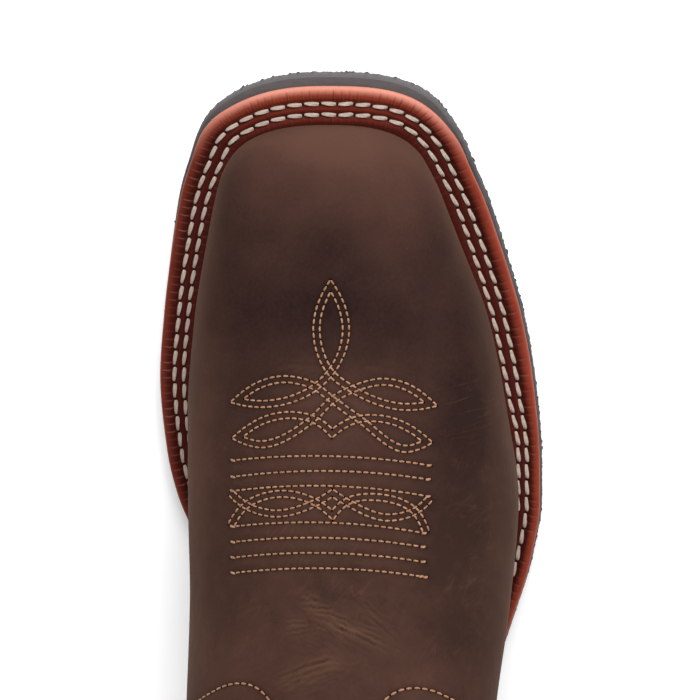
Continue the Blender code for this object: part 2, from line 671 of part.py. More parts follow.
def collar_frame(around):
    """At the collar: point on the outer surface, way out and way up, all in metres."""
    last = len(SECTIONS) - 1
    rim = on_upper(last, around)
    out = on_upper(last, around, 1 / MM) - rim
    up = rim - on_upper(row_below_collar(around, BINDING_DROP), around)
    up /= np.linalg.norm(up, axis=-1)[..., None]
    return rim, out, up


def half_collar_length():
    return np.linalg.norm(np.diff(FINE[-1], axis=0), axis=1).sum() / 2


def collar_binding(collection):
    """Strip folded over the top edge."""
    around = np.linspace(0, 1, ROUND_STEPS + 1)[:-1]
    rim, out, up = collar_frame(around)
    near, far = GAP, GAP + BINDING_THICKNESS
    profile = (
        (near, -BINDING_DROP), (far, -BINDING_DROP), (far, far), (-WALL - far, far),
        (-WALL - far, -BINDING_DROP), (-WALL - near, -BINDING_DROP), (-WALL - near, near), (near, near),
    )
    rings = [rim + (out * a + up * b) * MM for a, b in profile]
    return add_object("collar_binding", loft("collar_binding", rings, closed_round=True, closed_along=True),
                      "brown_leather", collection)


def pull_strap(name, side, collection):
    """Loop of leather over the collar, sewn down outside and inside."""
    half = STRAP_WIDTH / 2 / (2 * half_collar_length())
    around = side + half * np.linspace(-1, 1, STRAP_COLUMNS)
    rim, out, up = collar_frame(around)
    lines = []
    for drop, lift in STRAP_LEG:
        lines.append(on_upper(row_below_collar(around, drop), around, lift))
    for turn in np.linspace(0, math.pi, STRAP_LOOP_STEPS):
        across = -WALL / 2 + STRAP_LOOP_HALF * math.cos(turn)
        lines.append(rim + (out * across + up * STRAP_LOOP_RISE * math.sin(turn)) * MM)
    for drop, lift in STRAP_LEG[:0:-1]:
        lines.append(on_upper(row_below_collar(around, drop), around, -WALL - lift))
    mesh = loft(name, lines)
    return thicken(add_object(name, mesh, "brown_leather", collection), STRAP_THICKNESS, 1)


def seam_round(row, side):
    """How far round a section the straight side seam lies, on the side that lies this far round."""
    places = side + SEAM_SEARCH
    point = on_upper(row, places) / MM
    off = np.abs(SOLE_LENGTH / 2 - point[:, 1] - side_seam_place(point[:, 2]))
    return places[np.argmin(off)]


def side_seam(name, side, collection):
    """Raised piping from the corner of vamp and counter up to the pull strap."""
    last = row_below_collar(np.array([side]), STRAP_LEG[0][0] + SEAM_END_GAP)[0]
    rows = section_rows(COUNTER_FRONT + SEAM_START_ROWS, last)
    middle = np.array([seam_round(row, side) for row in rows])
    half = PIPING_WIDTH / 2 / (2 * half_collar_length())
    lines = []
    for across, lift in PIPING_SECTION:
        lines.append(on_upper(rows, middle + half * across, GAP + lift * PIPING_HEIGHT))
    mesh = loft(name, np.swapaxes(np.array(lines), 0, 1), closed_round=True, caps=True)
    return add_object(name, mesh, "brown_leather", collection)


# Assembly


def clear_scene():
    for obj in list(bpy.data.objects):
        bpy.data.objects.remove(obj)


def stand_on_origin(pieces):
    """Hangs the pieces on one empty, moved so that the middle of the boot's base is the origin."""
    graph = bpy.context.evaluated_depsgraph_get()
    corners = np.array([Vector(c) for p in pieces for c in p.evaluated_get(graph).bound_box])
    low, high = corners.min(axis=0), corners.max(axis=0)
    boot = bpy.data.objects.new("boot", None)
    bpy.context.scene.collection.objects.link(boot)
    boot.location = (-(low[0] + high[0]) / 2, -(low[1] + high[1]) / 2, -low[2])
    for piece in pieces:
        piece.parent = boot


def main():
    clear_scene()
    collection = bpy.data.collections.new("western_boot")
    bpy.context.scene.collection.children.link(collection)
    pieces = [
        outsole(collection), welt(collection), heel_stack(collection), heel_cap(collection),
        insole(collection), upper(collection), vamp(collection), heel_counter(collection),
        collar_binding(collection),
    ]
    for place, side in SIDES.items():
        pieces.append(pull_strap("pull_strap_" + place, side, collection))
        pieces.append(side_seam("side_seam_" + place, side, collection))
    bpy.context.view_layer.update()
    stand_on_origin(pieces)


main()
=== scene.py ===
"""Looks of the western boot: leather, welt, stitching and rubber sole, with its camera and light.

The boot's own sizes repeat the model's tables, in millimetres back from the toe tip of the outsole,
so that each piece lies where its solid lies. +Y points from heel to toe, +X to the outer side of the
right foot, +Z up.
"""

import math

import bpy
import numpy as np
from mathutils import Matrix, Vector
from mathutils.bvhtree import BVHTree
from mathutils.kdtree import KDTree


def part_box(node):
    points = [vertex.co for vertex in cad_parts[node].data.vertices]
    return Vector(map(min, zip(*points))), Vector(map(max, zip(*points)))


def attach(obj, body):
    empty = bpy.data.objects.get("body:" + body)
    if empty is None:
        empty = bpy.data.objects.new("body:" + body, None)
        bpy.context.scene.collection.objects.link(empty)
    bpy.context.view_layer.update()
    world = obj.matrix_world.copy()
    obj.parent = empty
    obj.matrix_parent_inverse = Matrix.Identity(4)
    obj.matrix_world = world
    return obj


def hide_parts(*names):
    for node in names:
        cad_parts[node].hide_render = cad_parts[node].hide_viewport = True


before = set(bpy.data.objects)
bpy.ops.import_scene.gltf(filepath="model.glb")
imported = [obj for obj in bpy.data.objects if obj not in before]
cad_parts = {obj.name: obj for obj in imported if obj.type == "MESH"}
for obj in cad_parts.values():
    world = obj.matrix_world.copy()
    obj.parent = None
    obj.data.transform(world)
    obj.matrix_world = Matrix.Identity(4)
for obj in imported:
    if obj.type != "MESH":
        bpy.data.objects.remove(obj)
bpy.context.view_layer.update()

MM = 0.001
TINY = 1e-12
END_SLACK = 1e-6
SEED = 7
random = np.random.default_rng(SEED)

# Sizes of the boot
SOLE_LENGTH = 305.0
GAP = 0.3
WELT_THICKNESS = 2.9
WELT_LIP_RISE = 0.7
WELT_LIP_WIDTH = 3.6
WELT_UNDER_WALL = 2.0
WALL = 2.2
OVERLAY_THICKNESS = 1.4
EDGE_CLEARANCE = 0.3
HEEL_BREAST = 224.0
HEEL_CAP_HEIGHT = 7.0
HEEL_TAPER = 0.09
HEEL_LEAN = 2.0
HEEL_INSET = 1.2
HEEL_SETBACK = 0.8
STACK_SHARE = 0.8
COLLAR_EAR_RISE = 27.0
COLLAR_EAR_LENGTH = 120.0
OUTLINE = {
    "from_toe": (0, 10, 24, 36, 48, 60, 72, 92, 115, 128, 145, 165, 190, 215, 240, 265, 285, 305),
    "inner": (37.0, 41.2, 45.2, 49.0, 51.4, 53.4, 54.9, 56.4, 54.4, 51.4, 44.0, 35.5, 29.0, 28.0, 30.5,
              33.5, 34.5, 34.0),
    "outer": (31.8, 31.9, 35.9, 40.8, 44.8, 48.5, 51.8, 55.4, 57.5, 57.7, 55.2, 49.2, 40.8, 36.0, 34.8,
              35.0, 35.0, 34.0),
}
TOE_ROUND_LENGTH = 24.0
TOE_SQUARENESS = 2.62
HEEL_ROUND_LENGTH = 36.0
HEEL_SQUARENESS = 2.15
SOLE_PROFILE = {
    "from_toe": (0, 15, 30, 50, 70, 88, 128, 150, 175, 200, 225, 250, 280, 305),
    "bottom": (12.0, 8.6, 5.6, 2.6, 0.7, 0.0, 0.0, 2.2, 9.0, 18.5, 26.5, 30.5, 32.5, 33.5),
    "thickness": (7.5, 7.5, 7.5, 7.5, 7.5, 7.5, 7.5, 6.8, 6.0, 5.5, 5.5, 5.5, 5.5, 5.5),
}
WELT_INSET = {
    "from_toe": (0, 7, 13, 20, 30, 110, 305),
    "inset": (3.2, 2.7, 1.8, 1.1, 0.9, 1.0, 1.2),
}
SECTION_COLUMNS = (
    "base_from_toe", "base_lift", "top_from_toe", "top_height", "ridge",
    "inner_base", "outer_base", "inner_wide", "outer_wide", "wide_at", "squareness",
)
SECTIONS = (
    (32.5, 0, 16.2, 19.7, -3.2, 31.6, 22.0, 31.6, 22.0, 0.02, 2.5),
    (33.3, 0, 15.6, 28.0, -3.2, 31.9, 22.4, 32.2, 22.7, 0.10, 2.5),
    (34.8, 0, 17.2, 36.0, -3.2, 32.3, 23.1, 32.9, 23.7, 0.18, 2.6),
    (37.5, 0, 22.0, 42.0, -3.2, 33.4, 24.8, 34.2, 25.7, 0.24, 2.7),
    (42.5, 0, 31.0, 46.0, -3.2, 34.9, 27.3, 35.7, 28.4, 0.28, 2.7),
    (52.0, 0, 47.0, 49.3, -3.0, 37.0, 31.6, 38.0, 32.8, 0.30, 2.6),
    (72.0, 0, 70.0, 55.0, -2.0, 39.8, 38.6, 41.4, 40.5, 0.30, 2.4),
    (97.0, 0, 98.0, 64.5, -1.0, 40.8, 43.6, 43.2, 45.9, 0.30, 2.25),
    (122.0, 0, 127.0, 76.0, 0.0, 38.2, 45.8, 42.8, 49.7, 0.32, 2.1),
    (148.0, 0, 153.0, 89.0, 0.0, 32.2, 42.4, 41.6, 47.9, 0.36, 2.05),
    (178.0, 0, 174.0, 102.0, 0.0, 25.2, 35.2, 41.3, 44.6, 0.42, 2.0),
    (210.0, 0, 187.0, 114.5, 0.0, 21.8, 29.6, 40.2, 42.6, 0.45, 2.0),
    (243.0, 0, 194.0, 127.0, 0.0, 24.5, 27.4, 39.0, 40.6, 0.45, 2.0),
    (272.0, 0, 197.5, 139.0, 0.0, 25.4, 25.8, 38.6, 39.8, 0.45, 2.0),
    (290.0, 0, 199.0, 149.0, 0.0, 18.0, 18.0, 38.2, 39.2, 0.46, 2.0),
    (299.5, 0, 199.5, 157.0, 0.0, 0.0, 0.0, 38.4, 39.2, 0.48, 2.0),
    (302.0, 14, 199.3, 166.0, 0.0, -18.0, -18.0, 38.6, 39.2, 0.49, 2.0),
    (301.5, 32, 198.3, 177.0, 0.0, 0.0, 0.0, 38.8, 39.3, 0.50, 2.0),
    (298.0, 56, 196.3, 191.0, 0.0, 0.0, 0.0, 39.2, 39.6, 0.50, 2.0),
    (296.0, 84, 193.5, 207.0, 0.0, 0.0, 0.0, 40.2, 40.6, 0.50, 2.0),
    (297.5, 116, 190.0, 226.0, 0.0, 0.0, 0.0, 42.0, 42.3, 0.50, 2.0),
    (303.0, 156, 186.0, 249.0, 0.0, 0.0, 0.0, 44.4, 44.5, 0.50, 2.0),
    (309.0, 200, 182.0, 272.0, 0.0, 0.0, 0.0, 46.6, 46.6, 0.50, 2.0),
    (314.0, 246, 178.5, 292.0, 0.0, 0.0, 0.0, 48.0, 48.0, 0.50, 2.0),
)
LAST_ROW = len(SECTIONS) - 1
HEEL_CORNER = 15
SHAFT_ROW = 17
COUNTER_FRONT = 11.02
COUNTER_GAP = 0.4
VAMP_START = 0.06
CREASED_ROW = 8.3
VAMP_SPLIT_ROW = 9
FOOT_ROUND = 0.15  # the lowest part of a section, where an overlay's edge may lie
FAN_CLOSENESS = 1.9  # how much closer together the vamp's lines are near the split row than at its edge
VAMP_ROUNDS = {"fine_from": 0.345, "side": 36, "middle": 105}
VAMP_ROWS = {"fine_from": 5, "toe": 40, "middle": 96, "creased": 77, "fan": 101}
VAMP_COARSE = 4  # the vamp's hidden side has each fourth line
VAMP_EDGE = {
    "round": (0.0, 0.10, 0.17, 0.24, 0.32, 0.385, 0.425, 0.45, 0.47, 0.487, 0.5),
    "row": (11.0, 11.0, 10.9, 10.5, 10.05, 9.8, 10.25, 11.1, 13.0, 15.6, 16.6),
}
COUNTER_TOP = {
    "from_toe": (195, 215, 240, 265, 285, 302),
    "height": (58.0, 61.0, 67.0, 78.0, 92.0, 110.0),
}
SIDE_SEAM = {"height": (60.0, 245.0), "from_toe": (203.0, 246.0)}
SEAM_START = 11.25
SEAM_END_GAP = 1.5
BINDING_DROP = 8.0
BINDING_THICKNESS = 1.2
STRAP_WIDTH = 27.0
STRAP_THICKNESS = 2.0
STRAP_LEG = {"below": (12.0, 27.0, 44.0, 62.0), "off": (2.6, 0.8, 0.4, 0.3)}
STRAP_LOOP_HALF = 6.4
STRAP_LOOP_RISE = 18.0
PIPING_WIDTH = 5.0
PIPING_HEIGHT = 2.0
SIDES = {"inner": 0.25, "outer": 0.75}

# Sizes of the finish
RAGGED = 0.1  # mean roughness of the trimmed rubber edge
CRUMB_COLUMNS = ("side", "start", "end", "spacing", "height")  # start and end in millimetres from the toe
CRUMBS = (
    ("both", 0.0, 6.0, 2.4, 0.32),
    ("outer", 6.0, 30.0, 3.2, 0.32),
    ("outer", 30.0, 200.0, 1.7, 0.3),
    ("inner", 6.0, 30.0, 6.0, 0.25),
    ("inner", 45.0, 105.0, 14.0, 0.9),
    ("inner", 105.0, 200.0, 7.0, 0.3),
)
SIDE_START = 30.0  # from here back each side's edge takes on its own amount, all of it after the ramp
SIDE_RAMP = 30.0
SIDE_TRIM = {"inner": 0.8, "outer": 0.3}
WELT_ASIDE = {"inner": 0.2, "outer": -0.3}
CRUMB_SPREAD = (0.3, 1.5)  # shares of a crumb's height, least and most
CRUMB_TRAIL = (0.3, 1.0)  # shares of a crumb's height that the place beside it takes
CRUMB_DARK = 6.0  # how fast a crumb darkens with its height
DEEPEST_NICK = 0.2
BUFFED = {"start": 4.0, "amount": 0.7}
OUTSOLE_PROFILE_COLUMNS = ("inset", "share", "ragged")  # share of the thickness, from the bottom
OUTSOLE_PROFILE = (
    (2.2, 0.0, 0.2), (1.0, 0.03, 0.5), (0.35, 0.10, 1.0), (0.1, 0.20, 0.8), (0.05, 0.27, 0.4),
    (0.0, 0.36, 0.35), (0.05, 0.56, 0.15), (0.12, 0.80, 0.05), (0.3, 0.92, 0.0), (0.8, 1.0, 0.0),
)
TREAD = {"start": 24.0, "end": 152.0, "pitch": 6.5, "depth": 1.4, "margin": 9.0, "ramp": 2.0,
         "steep": 3.0}
NOTCH_PITCH = 2.4
NOTCH_DEPTH = 0.3
NOTCH_SPREAD = (0.2, 1.0)  # how strong a notch is, least and most
NOTCH_OFFSET = 2  # steps from a notch of the rim to the next one of the inner strip
STACK_LAYERS = 6
STACK_GROOVE = 0.3
LAYER_PROFILE_COLUMNS = ("part", "inset")  # part of a layer's height
LAYER_PROFILE = ((0.0, STACK_GROOVE), (0.1, 0.0), (0.5, 0.0), (0.9, 0.0), (1.0, STACK_GROOVE))
HEEL_CAP_COLUMNS = ("share", "height", "inset")
HEEL_CAP_PROFILE = (
    (STACK_SHARE, HEEL_CAP_HEIGHT, 0.3), (STACK_SHARE, HEEL_CAP_HEIGHT - 0.4, 0.0), (0.9, 3.5, 0.0),
    (0.96, 1.2, 0.0), (0.98, 0.4, 0.2), (1.0, 0.0, 0.8),
)
WELT_FULL_REACH = 11.8
WELT_STITCH_INSETS = (5.0, 8.2)
WELT_SHARE = {
    "from_toe": (0, 20, 30, 80, 95, 110, 130, 305),
    "inner": (1.03, 1.06, 0.97, 0.88, 0.87, 0.87, 0.87, 0.87),
    "outer": (1.03, 1.06, 1.01, 0.99, 0.92, 0.76, 0.80, 0.87),
}
WELT_RIM = {"wide": 2.0, "start": 1.2, "most": 0.9}  # the painted highlight on the rim at the toe
WELT_STITCH_RISE = 2.55
# a thin painted highlight along the welt's outer edge, away from the toe
PALE_EDGE = {"wide": 0.5, "above": 2.0, "amount": 0.34}
# painted shade on the welt's side away from the light, and how lit the outer side is painted
SIDE_SHADE = 0.55
OUTER_LIT = 0.7
TOE_START = 2.0  # from here back the painted light at the toe fades
OUTER_STEEPER = 0.5  # how much faster the painted shade of the outer side's welt deepens towards its stitches
TOE_LIT = 0.6  # the share of its painted shade that the welt's face loses at the toe, where it is painted lit
NOTCH_PAINT = {"inner": 0.28, "outer": 0.12, "toe": 0.2}
# painted shade beside each notch
NOTCH_SHADE = {"inner": 0.25, "outer": 0.1, "toe": 0.55}
INNER_STRIP_NOTCH = 0.4
# the shade column is painted shade, deepest along the stitch rows
WELT_PROFILE_COLUMNS = ("inset", "rise", "notch", "shade")
WELT_PROFILE = (
    (0.4, 0.0, 0.0, 0.6), (0.15, 0.5, 0.0, 0.4), (0.0, 1.3, 0.0, 0.2), (0.1, 2.2, 0.0, 0.0),
    (0.4, 2.85, 0.0, 0.0), (0.9, 3.25, 0.2, 0.05), (1.4, 3.45, 0.7, 0.12), (2.0, 3.54, 1.0, 0.25),
    (2.5, 3.56, 1.0, 0.38), (3.0, 3.52, 1.0, 0.52), (3.4, 3.4, 1.0, 0.68), (3.7, 3.2, 0.8, 0.82),
    (4.0, 2.9, 0.5, 0.92), (4.3, 2.55, 0.2, 1.0), (5.0, 2.3, 0.0, 1.0), (5.65, 2.5, 0.0, 0.95),
    (6.2, 2.75, 0.0, 0.7), (6.6, 2.8, 0.0, 0.62), (7.0, 2.75, 0.0, 0.7), (7.55, 2.5, 0.0, 0.95),
    (8.2, 2.3, 0.0, 1.0), (8.75, 2.5, 0.2, 0.9), (9.2, 2.8, 0.8, 0.8), (9.8, 2.95, 1.0, 0.75),
    (10.3, 2.98, 0.8, 0.88), (10.9, 2.95, 0.0, 1.0),
)

# Soft creases of the vamp: a trough through three places, with a low ridge along each side of it
CREASE_WANDER = 0.2
WANDER_OVER = np.ones(5) / 3  # weights of the neighbours that share one wander
CREASE_FULL_DEPTH = 0.28
CREASE_SHAPE = {"reach": 5.0, "fade": 0.7, "ridge_at": 1.9, "ridge": 0.45}  # reach, ridge_at: half widths
# The most pale paint on crease ridges, as wear and painted highlight, and the most painted shade in troughs
# and by stitches
MOST_WEAR = 0.6
MOST_RECESS = 0.5
CREASE_WEAR = 0.8  # how strongly a crease shows pale on its ridges, as wear and painted highlight, and dark in its trough, as painted shade, for its depth
# painted shade in a crease's trough, for its depth
CREASE_DARK = 1.0
FINE_WRINKLES = 4  # short fine wrinkles beside each crease
FINE_WRINKLE = {"aside": 1.8, "length": 4.0, "spread": (0.5, 1.4), "turn": 1.2, "depth": 0.06,
                "half_width": 0.34}
CREASE_COLUMNS = ("start", "middle", "end", "depth", "half_width")  # places as (x, from_toe)
CREASES = (
    ((-4.5, 143.5), (4.5, 147.0), (18.0, 153.5), 0.28, 0.42),
    ((-2.0, 144.0), (6.0, 146.5), (16.0, 151.0), 0.26, 0.40),
    ((-0.5, 143.0), (7.5, 146.0), (14.5, 149.0), 0.22, 0.38),
    ((-1.0, 145.5), (3.5, 147.0), (8.0, 148.0), 0.20, 0.38),
    ((-5.0, 143.0), (-2.0, 143.0), (0.5, 143.5), 0.20, 0.36),
    ((-7.0, 141.5), (-2.0, 142.0), (2.0, 142.0), 0.22, 0.36),
    ((-8.5, 140.5), (-5.5, 140.0), (-2.5, 140.0), 0.18, 0.36),
    ((-6.5, 138.5), (-4.0, 139.5), (-1.5, 140.0), 0.18, 0.36),
    ((8.5, 141.0), (14.0, 146.0), (19.5, 151.0), 0.10, 0.34),
    ((7.5, 138.0), (12.0, 142.0), (17.0, 147.5), 0.09, 0.34),
    ((-12.0, 148.5), (-8.0, 147.5), (-4.0, 147.0), 0.13, 0.32),
    ((-12.5, 147.0), (-8.0, 146.0), (-4.0, 145.5), 0.13, 0.32),
    ((-11.0, 149.5), (-8.0, 149.0), (-5.5, 148.5), 0.11, 0.32),
    ((-11.5, 145.5), (-9.0, 145.0), (-6.0, 144.5), 0.11, 0.32),
    ((-13.5, 161.0), (-6.0, 157.0), (3.5, 155.0), 0.26, 0.42),
    ((-13.0, 162.0), (-5.0, 158.4), (4.0, 155.5), 0.26, 0.42),
    ((-12.0, 163.0), (-5.5, 160.0), (0.5, 158.5), 0.24, 0.42),
    ((-5.5, 157.0), (-1.0, 155.5), (3.0, 154.5), 0.18, 0.38),
    ((-1.5, 157.0), (3.0, 156.5), (9.0, 157.0), 0.12, 0.34),
    ((-17.1, 77.7), (-9.9, 76.9), (-1.3, 78.9), 0.07, 0.6),
    ((-17.0, 81.0), (-9.8, 79.3), (-4.1, 80.5), 0.07, 0.6),
    ((7.2, 77.2), (13.0, 77.4), (18.4, 79.0), 0.06, 0.6),
)
# Soft zones of the vamp: how much lighter or darker, how rubbed and how finely wrinkled it is. The lighter
# zones over the toe's top and the narrow strips along both sides are painted highlights
ZONE_COLUMNS = ("x", "from_toe", "half_wide", "half_long", "amount")
TONES = (
    (0.0, 15.0, 27.0, 9.0, 0.62), (4.0, 27.0, 33.0, 15.0, 0.30), (18.0, 40.0, 14.0, 20.0, 0.16),
    (-22.0, 68.0, 24.0, 24.0, -0.06), (2.0, 70.0, 22.0, 14.0, -0.28), (38.0, 100.0, 11.0, 34.0, -0.20),
    (0.0, 108.0, 34.0, 26.0, 0.08), (6.0, 152.0, 26.0, 13.0, 0.16), (-30.0, 162.0, 13.0, 12.0, 0.22),
    (26.0, 164.0, 17.0, 10.0, 0.18), (43.0, 138.0, 8.0, 16.0, 0.08), (-40.0, 130.0, 5.0, 42.0, 0.22),
    (47.0, 112.0, 5.0, 40.0, 0.12), (0.0, 128.0, 24.0, 16.0, 0.08), (-26.0, 32.0, 10.0, 14.0, 0.10),
    (-40.0, 85.0, 6.0, 26.0, 0.30), (33.0, 118.0, 10.0, 25.0, -0.28), (5.0, 85.0, 20.0, 8.0, 0.42),
    (-4.0, 106.0, 20.0, 15.0, 0.20), (5.0, 70.0, 8.0, 8.0, 0.16), (3.0, 43.0, 11.0, 8.0, -0.18),
    (-20.0, 26.0, 9.0, 9.0, 0.10), (-10.0, 136.0, 26.0, 12.0, -0.06), (0.0, 51.0, 14.0, 8.0, -0.03),
    (36.0, 148.0, 12.0, 14.0, -0.20),
)
RUBBED = (
    (0.0, 128.0, 50.0, 38.0, 0.75), (36.0, 145.0, 14.0, 25.0, 0.3), (0.0, 200.0, 60.0, 60.0, 0.4),
)
SCRATCHED = (
    (38.0, 90.0, 12.0, 7.0, 1.4), (-28.0, 102.0, 8.0, 16.0, 1.0), (40.0, 128.0, 10.0, 22.0, 0.6),
)
WRINKLED_BACK = (  # wrinkles that run back towards the outer side
    (6.0, 146.0, 17.0, 8.0, 1.0),
)
WRINKLED_FORE = (  # wrinkles that run forward towards the outer side
    (-5.0, 159.0, 12.0, 6.0, 1.0), (-9.0, 147.0, 6.0, 3.0, 0.8), (-8.0, 79.0, 14.0, 3.0, 0.5),
)
ZONES = {"tone": TONES, "rubbed": RUBBED, "scratched": SCRATCHED,
         "wrinkled_back": WRINKLED_BACK, "wrinkled_fore": WRINKLED_FORE}
WRINKLE_TURN = {"back": -0.46, "fore": 0.40}
EDGE_SOFTNESS = 0.9  # how far in from a cut edge the leather starts to round over
EDGE_LOSS = 0.55  # the share of its thickness that it has lost at the edge
STITCH_PULL = 0.22  # how deep a stitch draws the leather down
STITCH_PULL_WIDTH = 0.9
# painted shade on the leather beside its stitches
STITCH_DARK = 0.35

# Thread: pitch and sizes of one stitch in millimetres, how strongly its two plies show, its mesh steps
DECOR_STITCH = {"pitch": 2.0, "share": 0.74, "width": 0.56, "thick": 0.48, "rise": 0.2, "ply": 0.1,
                "blunt": 0.28, "slant": 0.0, "steps": 5, "sides": 6, "hole": 0.40, "strands": 1}
SEAM_STITCH = {"pitch": 2.5, "share": 0.72, "width": 0.62, "thick": 0.5, "rise": 0.22, "ply": 0.1,
               "blunt": 0.4, "slant": 0.0, "steps": 5, "sides": 6, "hole": 0.38, "strands": 1}
WELT_STITCH = {"pitch": 4.95, "share": 0.86, "width": 1.2, "thick": 1.0, "rise": 0.5, "ply": 0.16,
               "blunt": 0.12, "slant": 0.08, "steps": 12, "sides": 8, "hole": 0.44, "strands": 2}
TACK_STITCH = {"pitch": 1.7, "share": 0.9, "width": 0.8, "thick": 0.6, "rise": 0.2, "ply": 0.14,
               "blunt": 0.3, "slant": 0.25, "steps": 6, "sides": 7, "hole": 0.36, "strands": 1}
STRAND_APART = 0.34  # how far a strand lies from the middle of a twisted stitch, in half widths
TWIST = 1.7
STITCH_END = 0.04  # where a stitch's round end is cut off
STITCH_ARCH = 0.5
STITCH_SUNK = 0.3  # the share of its thickness by which a stitch lies in the leather
STITCH_WANDER = 0.02
HOLE_SIZE = {"sides": 7, "sunk": 0.15, "tip": 0.1}
ASKEW = (0.31, 0.87, 0.38)  # a slanting direction, which sets where each hole's ring starts
ROW_STEP = 0.8  # steps of a row beside an edge, and of rows laid on a surface
SNAP_STEP = 0.7
PHOTO_STEP = 0.5
ROW_CLEAR = 0.93  # the share of its distance that a row keeps from all of its edge

# Camera, as the photograph was taken, and the photograph's size in pixels
PHOTO_SIZE = 700
PHOTO_FOCAL = 4811.0
SENSOR_WIDTH = 36.0
CAMERA_DISTANCE = 1400.0
CAMERA_TILT = math.radians(12)
CAMERA_SWING = math.radians(4)
CAMERA_FAR = 20.0
CAMERA_TARGET = {"x": 1.6, "from_toe": 80.86, "height": 20.0}

# Floor and soft lights, in metres
FLOOR = {"size": 6.0, "below": 0.0002, "glow": 0.2, "patch": 300, "rough": 0.9}
WORLD_LIGHT = 0.38
LIGHT_COLUMNS = ("name", "place", "aim", "size", "power")
LIGHTS = (
    ("toe_softbox", (0.15, 1.05, 1.05), (0.0, 0.10, 0.03), 0.7, 24.0),
    ("right_softbox", (1.1, 0.15, 1.0), (0.02, 0.05, 0.03), 0.8, 5.0),
    ("left_softbox", (-1.1, -0.1, 1.1), (0.0, 0.05, 0.03), 0.8, 1.8),
    ("back_softbox", (0.1, -1.2, 1.3), (0.0, -0.05, 0.1), 1.0, 5.0),
)

# The toe stitching, as places in the photograph's pixels. A strand is a double row that runs through
# its places in turn, smooth except at its corners. A line is a single row with three places.
ROW_SPACING = 6.4
CORNER_REACH = 16.0
PLACES = {
    "top_tip": (330.6, 285.5), "top_left": (316.8, 336.0), "top_right": (345.5, 336.0),
    "top_cross": (330.6, 372.5), "centre_cross": (332.5, 400.0), "point": (332.0, 433.7),
    "upper_left_cross": (315.6, 387.0), "upper_left_top": (284.3, 379.3),
    "upper_left_tip": (236.7, 400.8), "upper_left_low": (265.8, 404.0),
    "upper_right_cross": (352.4, 389.3), "upper_right_top": (385.3, 381.8),
    "upper_right_tip": (430.9, 404.2), "upper_right_low": (405.2, 407.0),
    "lower_left_cross": (312.6, 419.2), "lower_left_top": (290.3, 415.2),
    "lower_left_tip": (237.5, 437.6), "lower_left_low": (255.3, 443.9),
    "lower_right_cross": (359.2, 419.2), "lower_right_top": (375.3, 418.3),
    "lower_right_tip": (427.2, 442.0), "lower_right_low": (409.0, 448.7),
    "band_left_high": (231.0, 493.0), "band_left_low": (231.0, 526.0), "band_left_cross": (246.0, 505.5),
    "band_left_top": (280.0, 493.9), "band_left_bottom": (271.0, 513.4),
    "diamond_left": (315.8, 502.7), "diamond_top": (332.4, 493.0), "diamond_bottom": (332.4, 515.3),
    "diamond_right": (346.5, 502.0), "band_right_top": (376.5, 497.2), "band_right_bottom": (390.0, 517.6),
    "band_right_cross": (414.7, 511.3), "band_right_high": (430.0, 498.0), "band_right_low": (426.0, 532.5),
}
CORNERS = ("top_tip", "upper_left_tip", "upper_right_tip", "lower_left_tip", "lower_right_tip", "point",
           "diamond_top", "diamond_bottom")
STRANDS = (
    ("point", "lower_left_cross", "lower_left_top", "lower_left_tip", "lower_left_low",
     "lower_left_cross", "centre_cross", "upper_right_cross", "upper_right_top", "upper_right_tip",
     "upper_right_low", "upper_right_cross", "top_cross", "top_left", "top_tip", "top_right",
     "top_cross", "upper_left_cross", "upper_left_low", "upper_left_tip", "upper_left_top",
     "upper_left_cross", "centre_cross", "lower_right_cross", "lower_right_low", "lower_right_tip",
     "lower_right_top", "lower_right_cross", "point"),
    ("band_left_high", "band_left_cross", "band_left_bottom", "diamond_left", "diamond_top",
     "diamond_right", "band_right_bottom", "band_right_cross", "band_right_high"),
    ("band_left_low", "band_left_cross", "band_left_top", "diamond_left", "diamond_bottom",
     "diamond_right", "band_right_top", "band_right_cross", "band_right_low"),
)
LINES = (
    ((230.0, 460.8), (317.0, 456.0), (432.0, 465.9)),
    ((230.0, 477.4), (323.0, 471.0), (431.0, 480.0)),
    ((229.5, 491.5), (310.0, 485.8), (431.0, 497.0)),
    ((229.6, 527.0), (306.0, 522.4), (427.0, 533.7)),
    ((230.0, 542.5), (299.0, 537.8), (426.0, 547.5)),
    ((230.0, 558.0), (306.0, 553.0), (426.0, 562.4)),
    ((230.0, 573.5), (299.0, 568.5), (428.0, 577.6)),
)
TACK_LENGTH = 5.5
LONG_TACK = {"line": 6, "end": -1, "length": 9.0}

# Rows of stitches beside edges, and how far round a section edges and seams are looked for
EDGE_ROWS = (2.4, 8.2)  # rows of stitches beside the edges of vamp and counter
SEAM_ROW = 4.6  # row beside the piping of the side seam
STRAP_ROW = 3.0
STRAP_BOX = (3, 22)  # lines of the strap between which its box of stitches lies
BINDING_ROW = 2.0
LINING_GAP = 0.05
COUNTER_SEARCH = 0.3
SEAM_SEARCH = 0.21

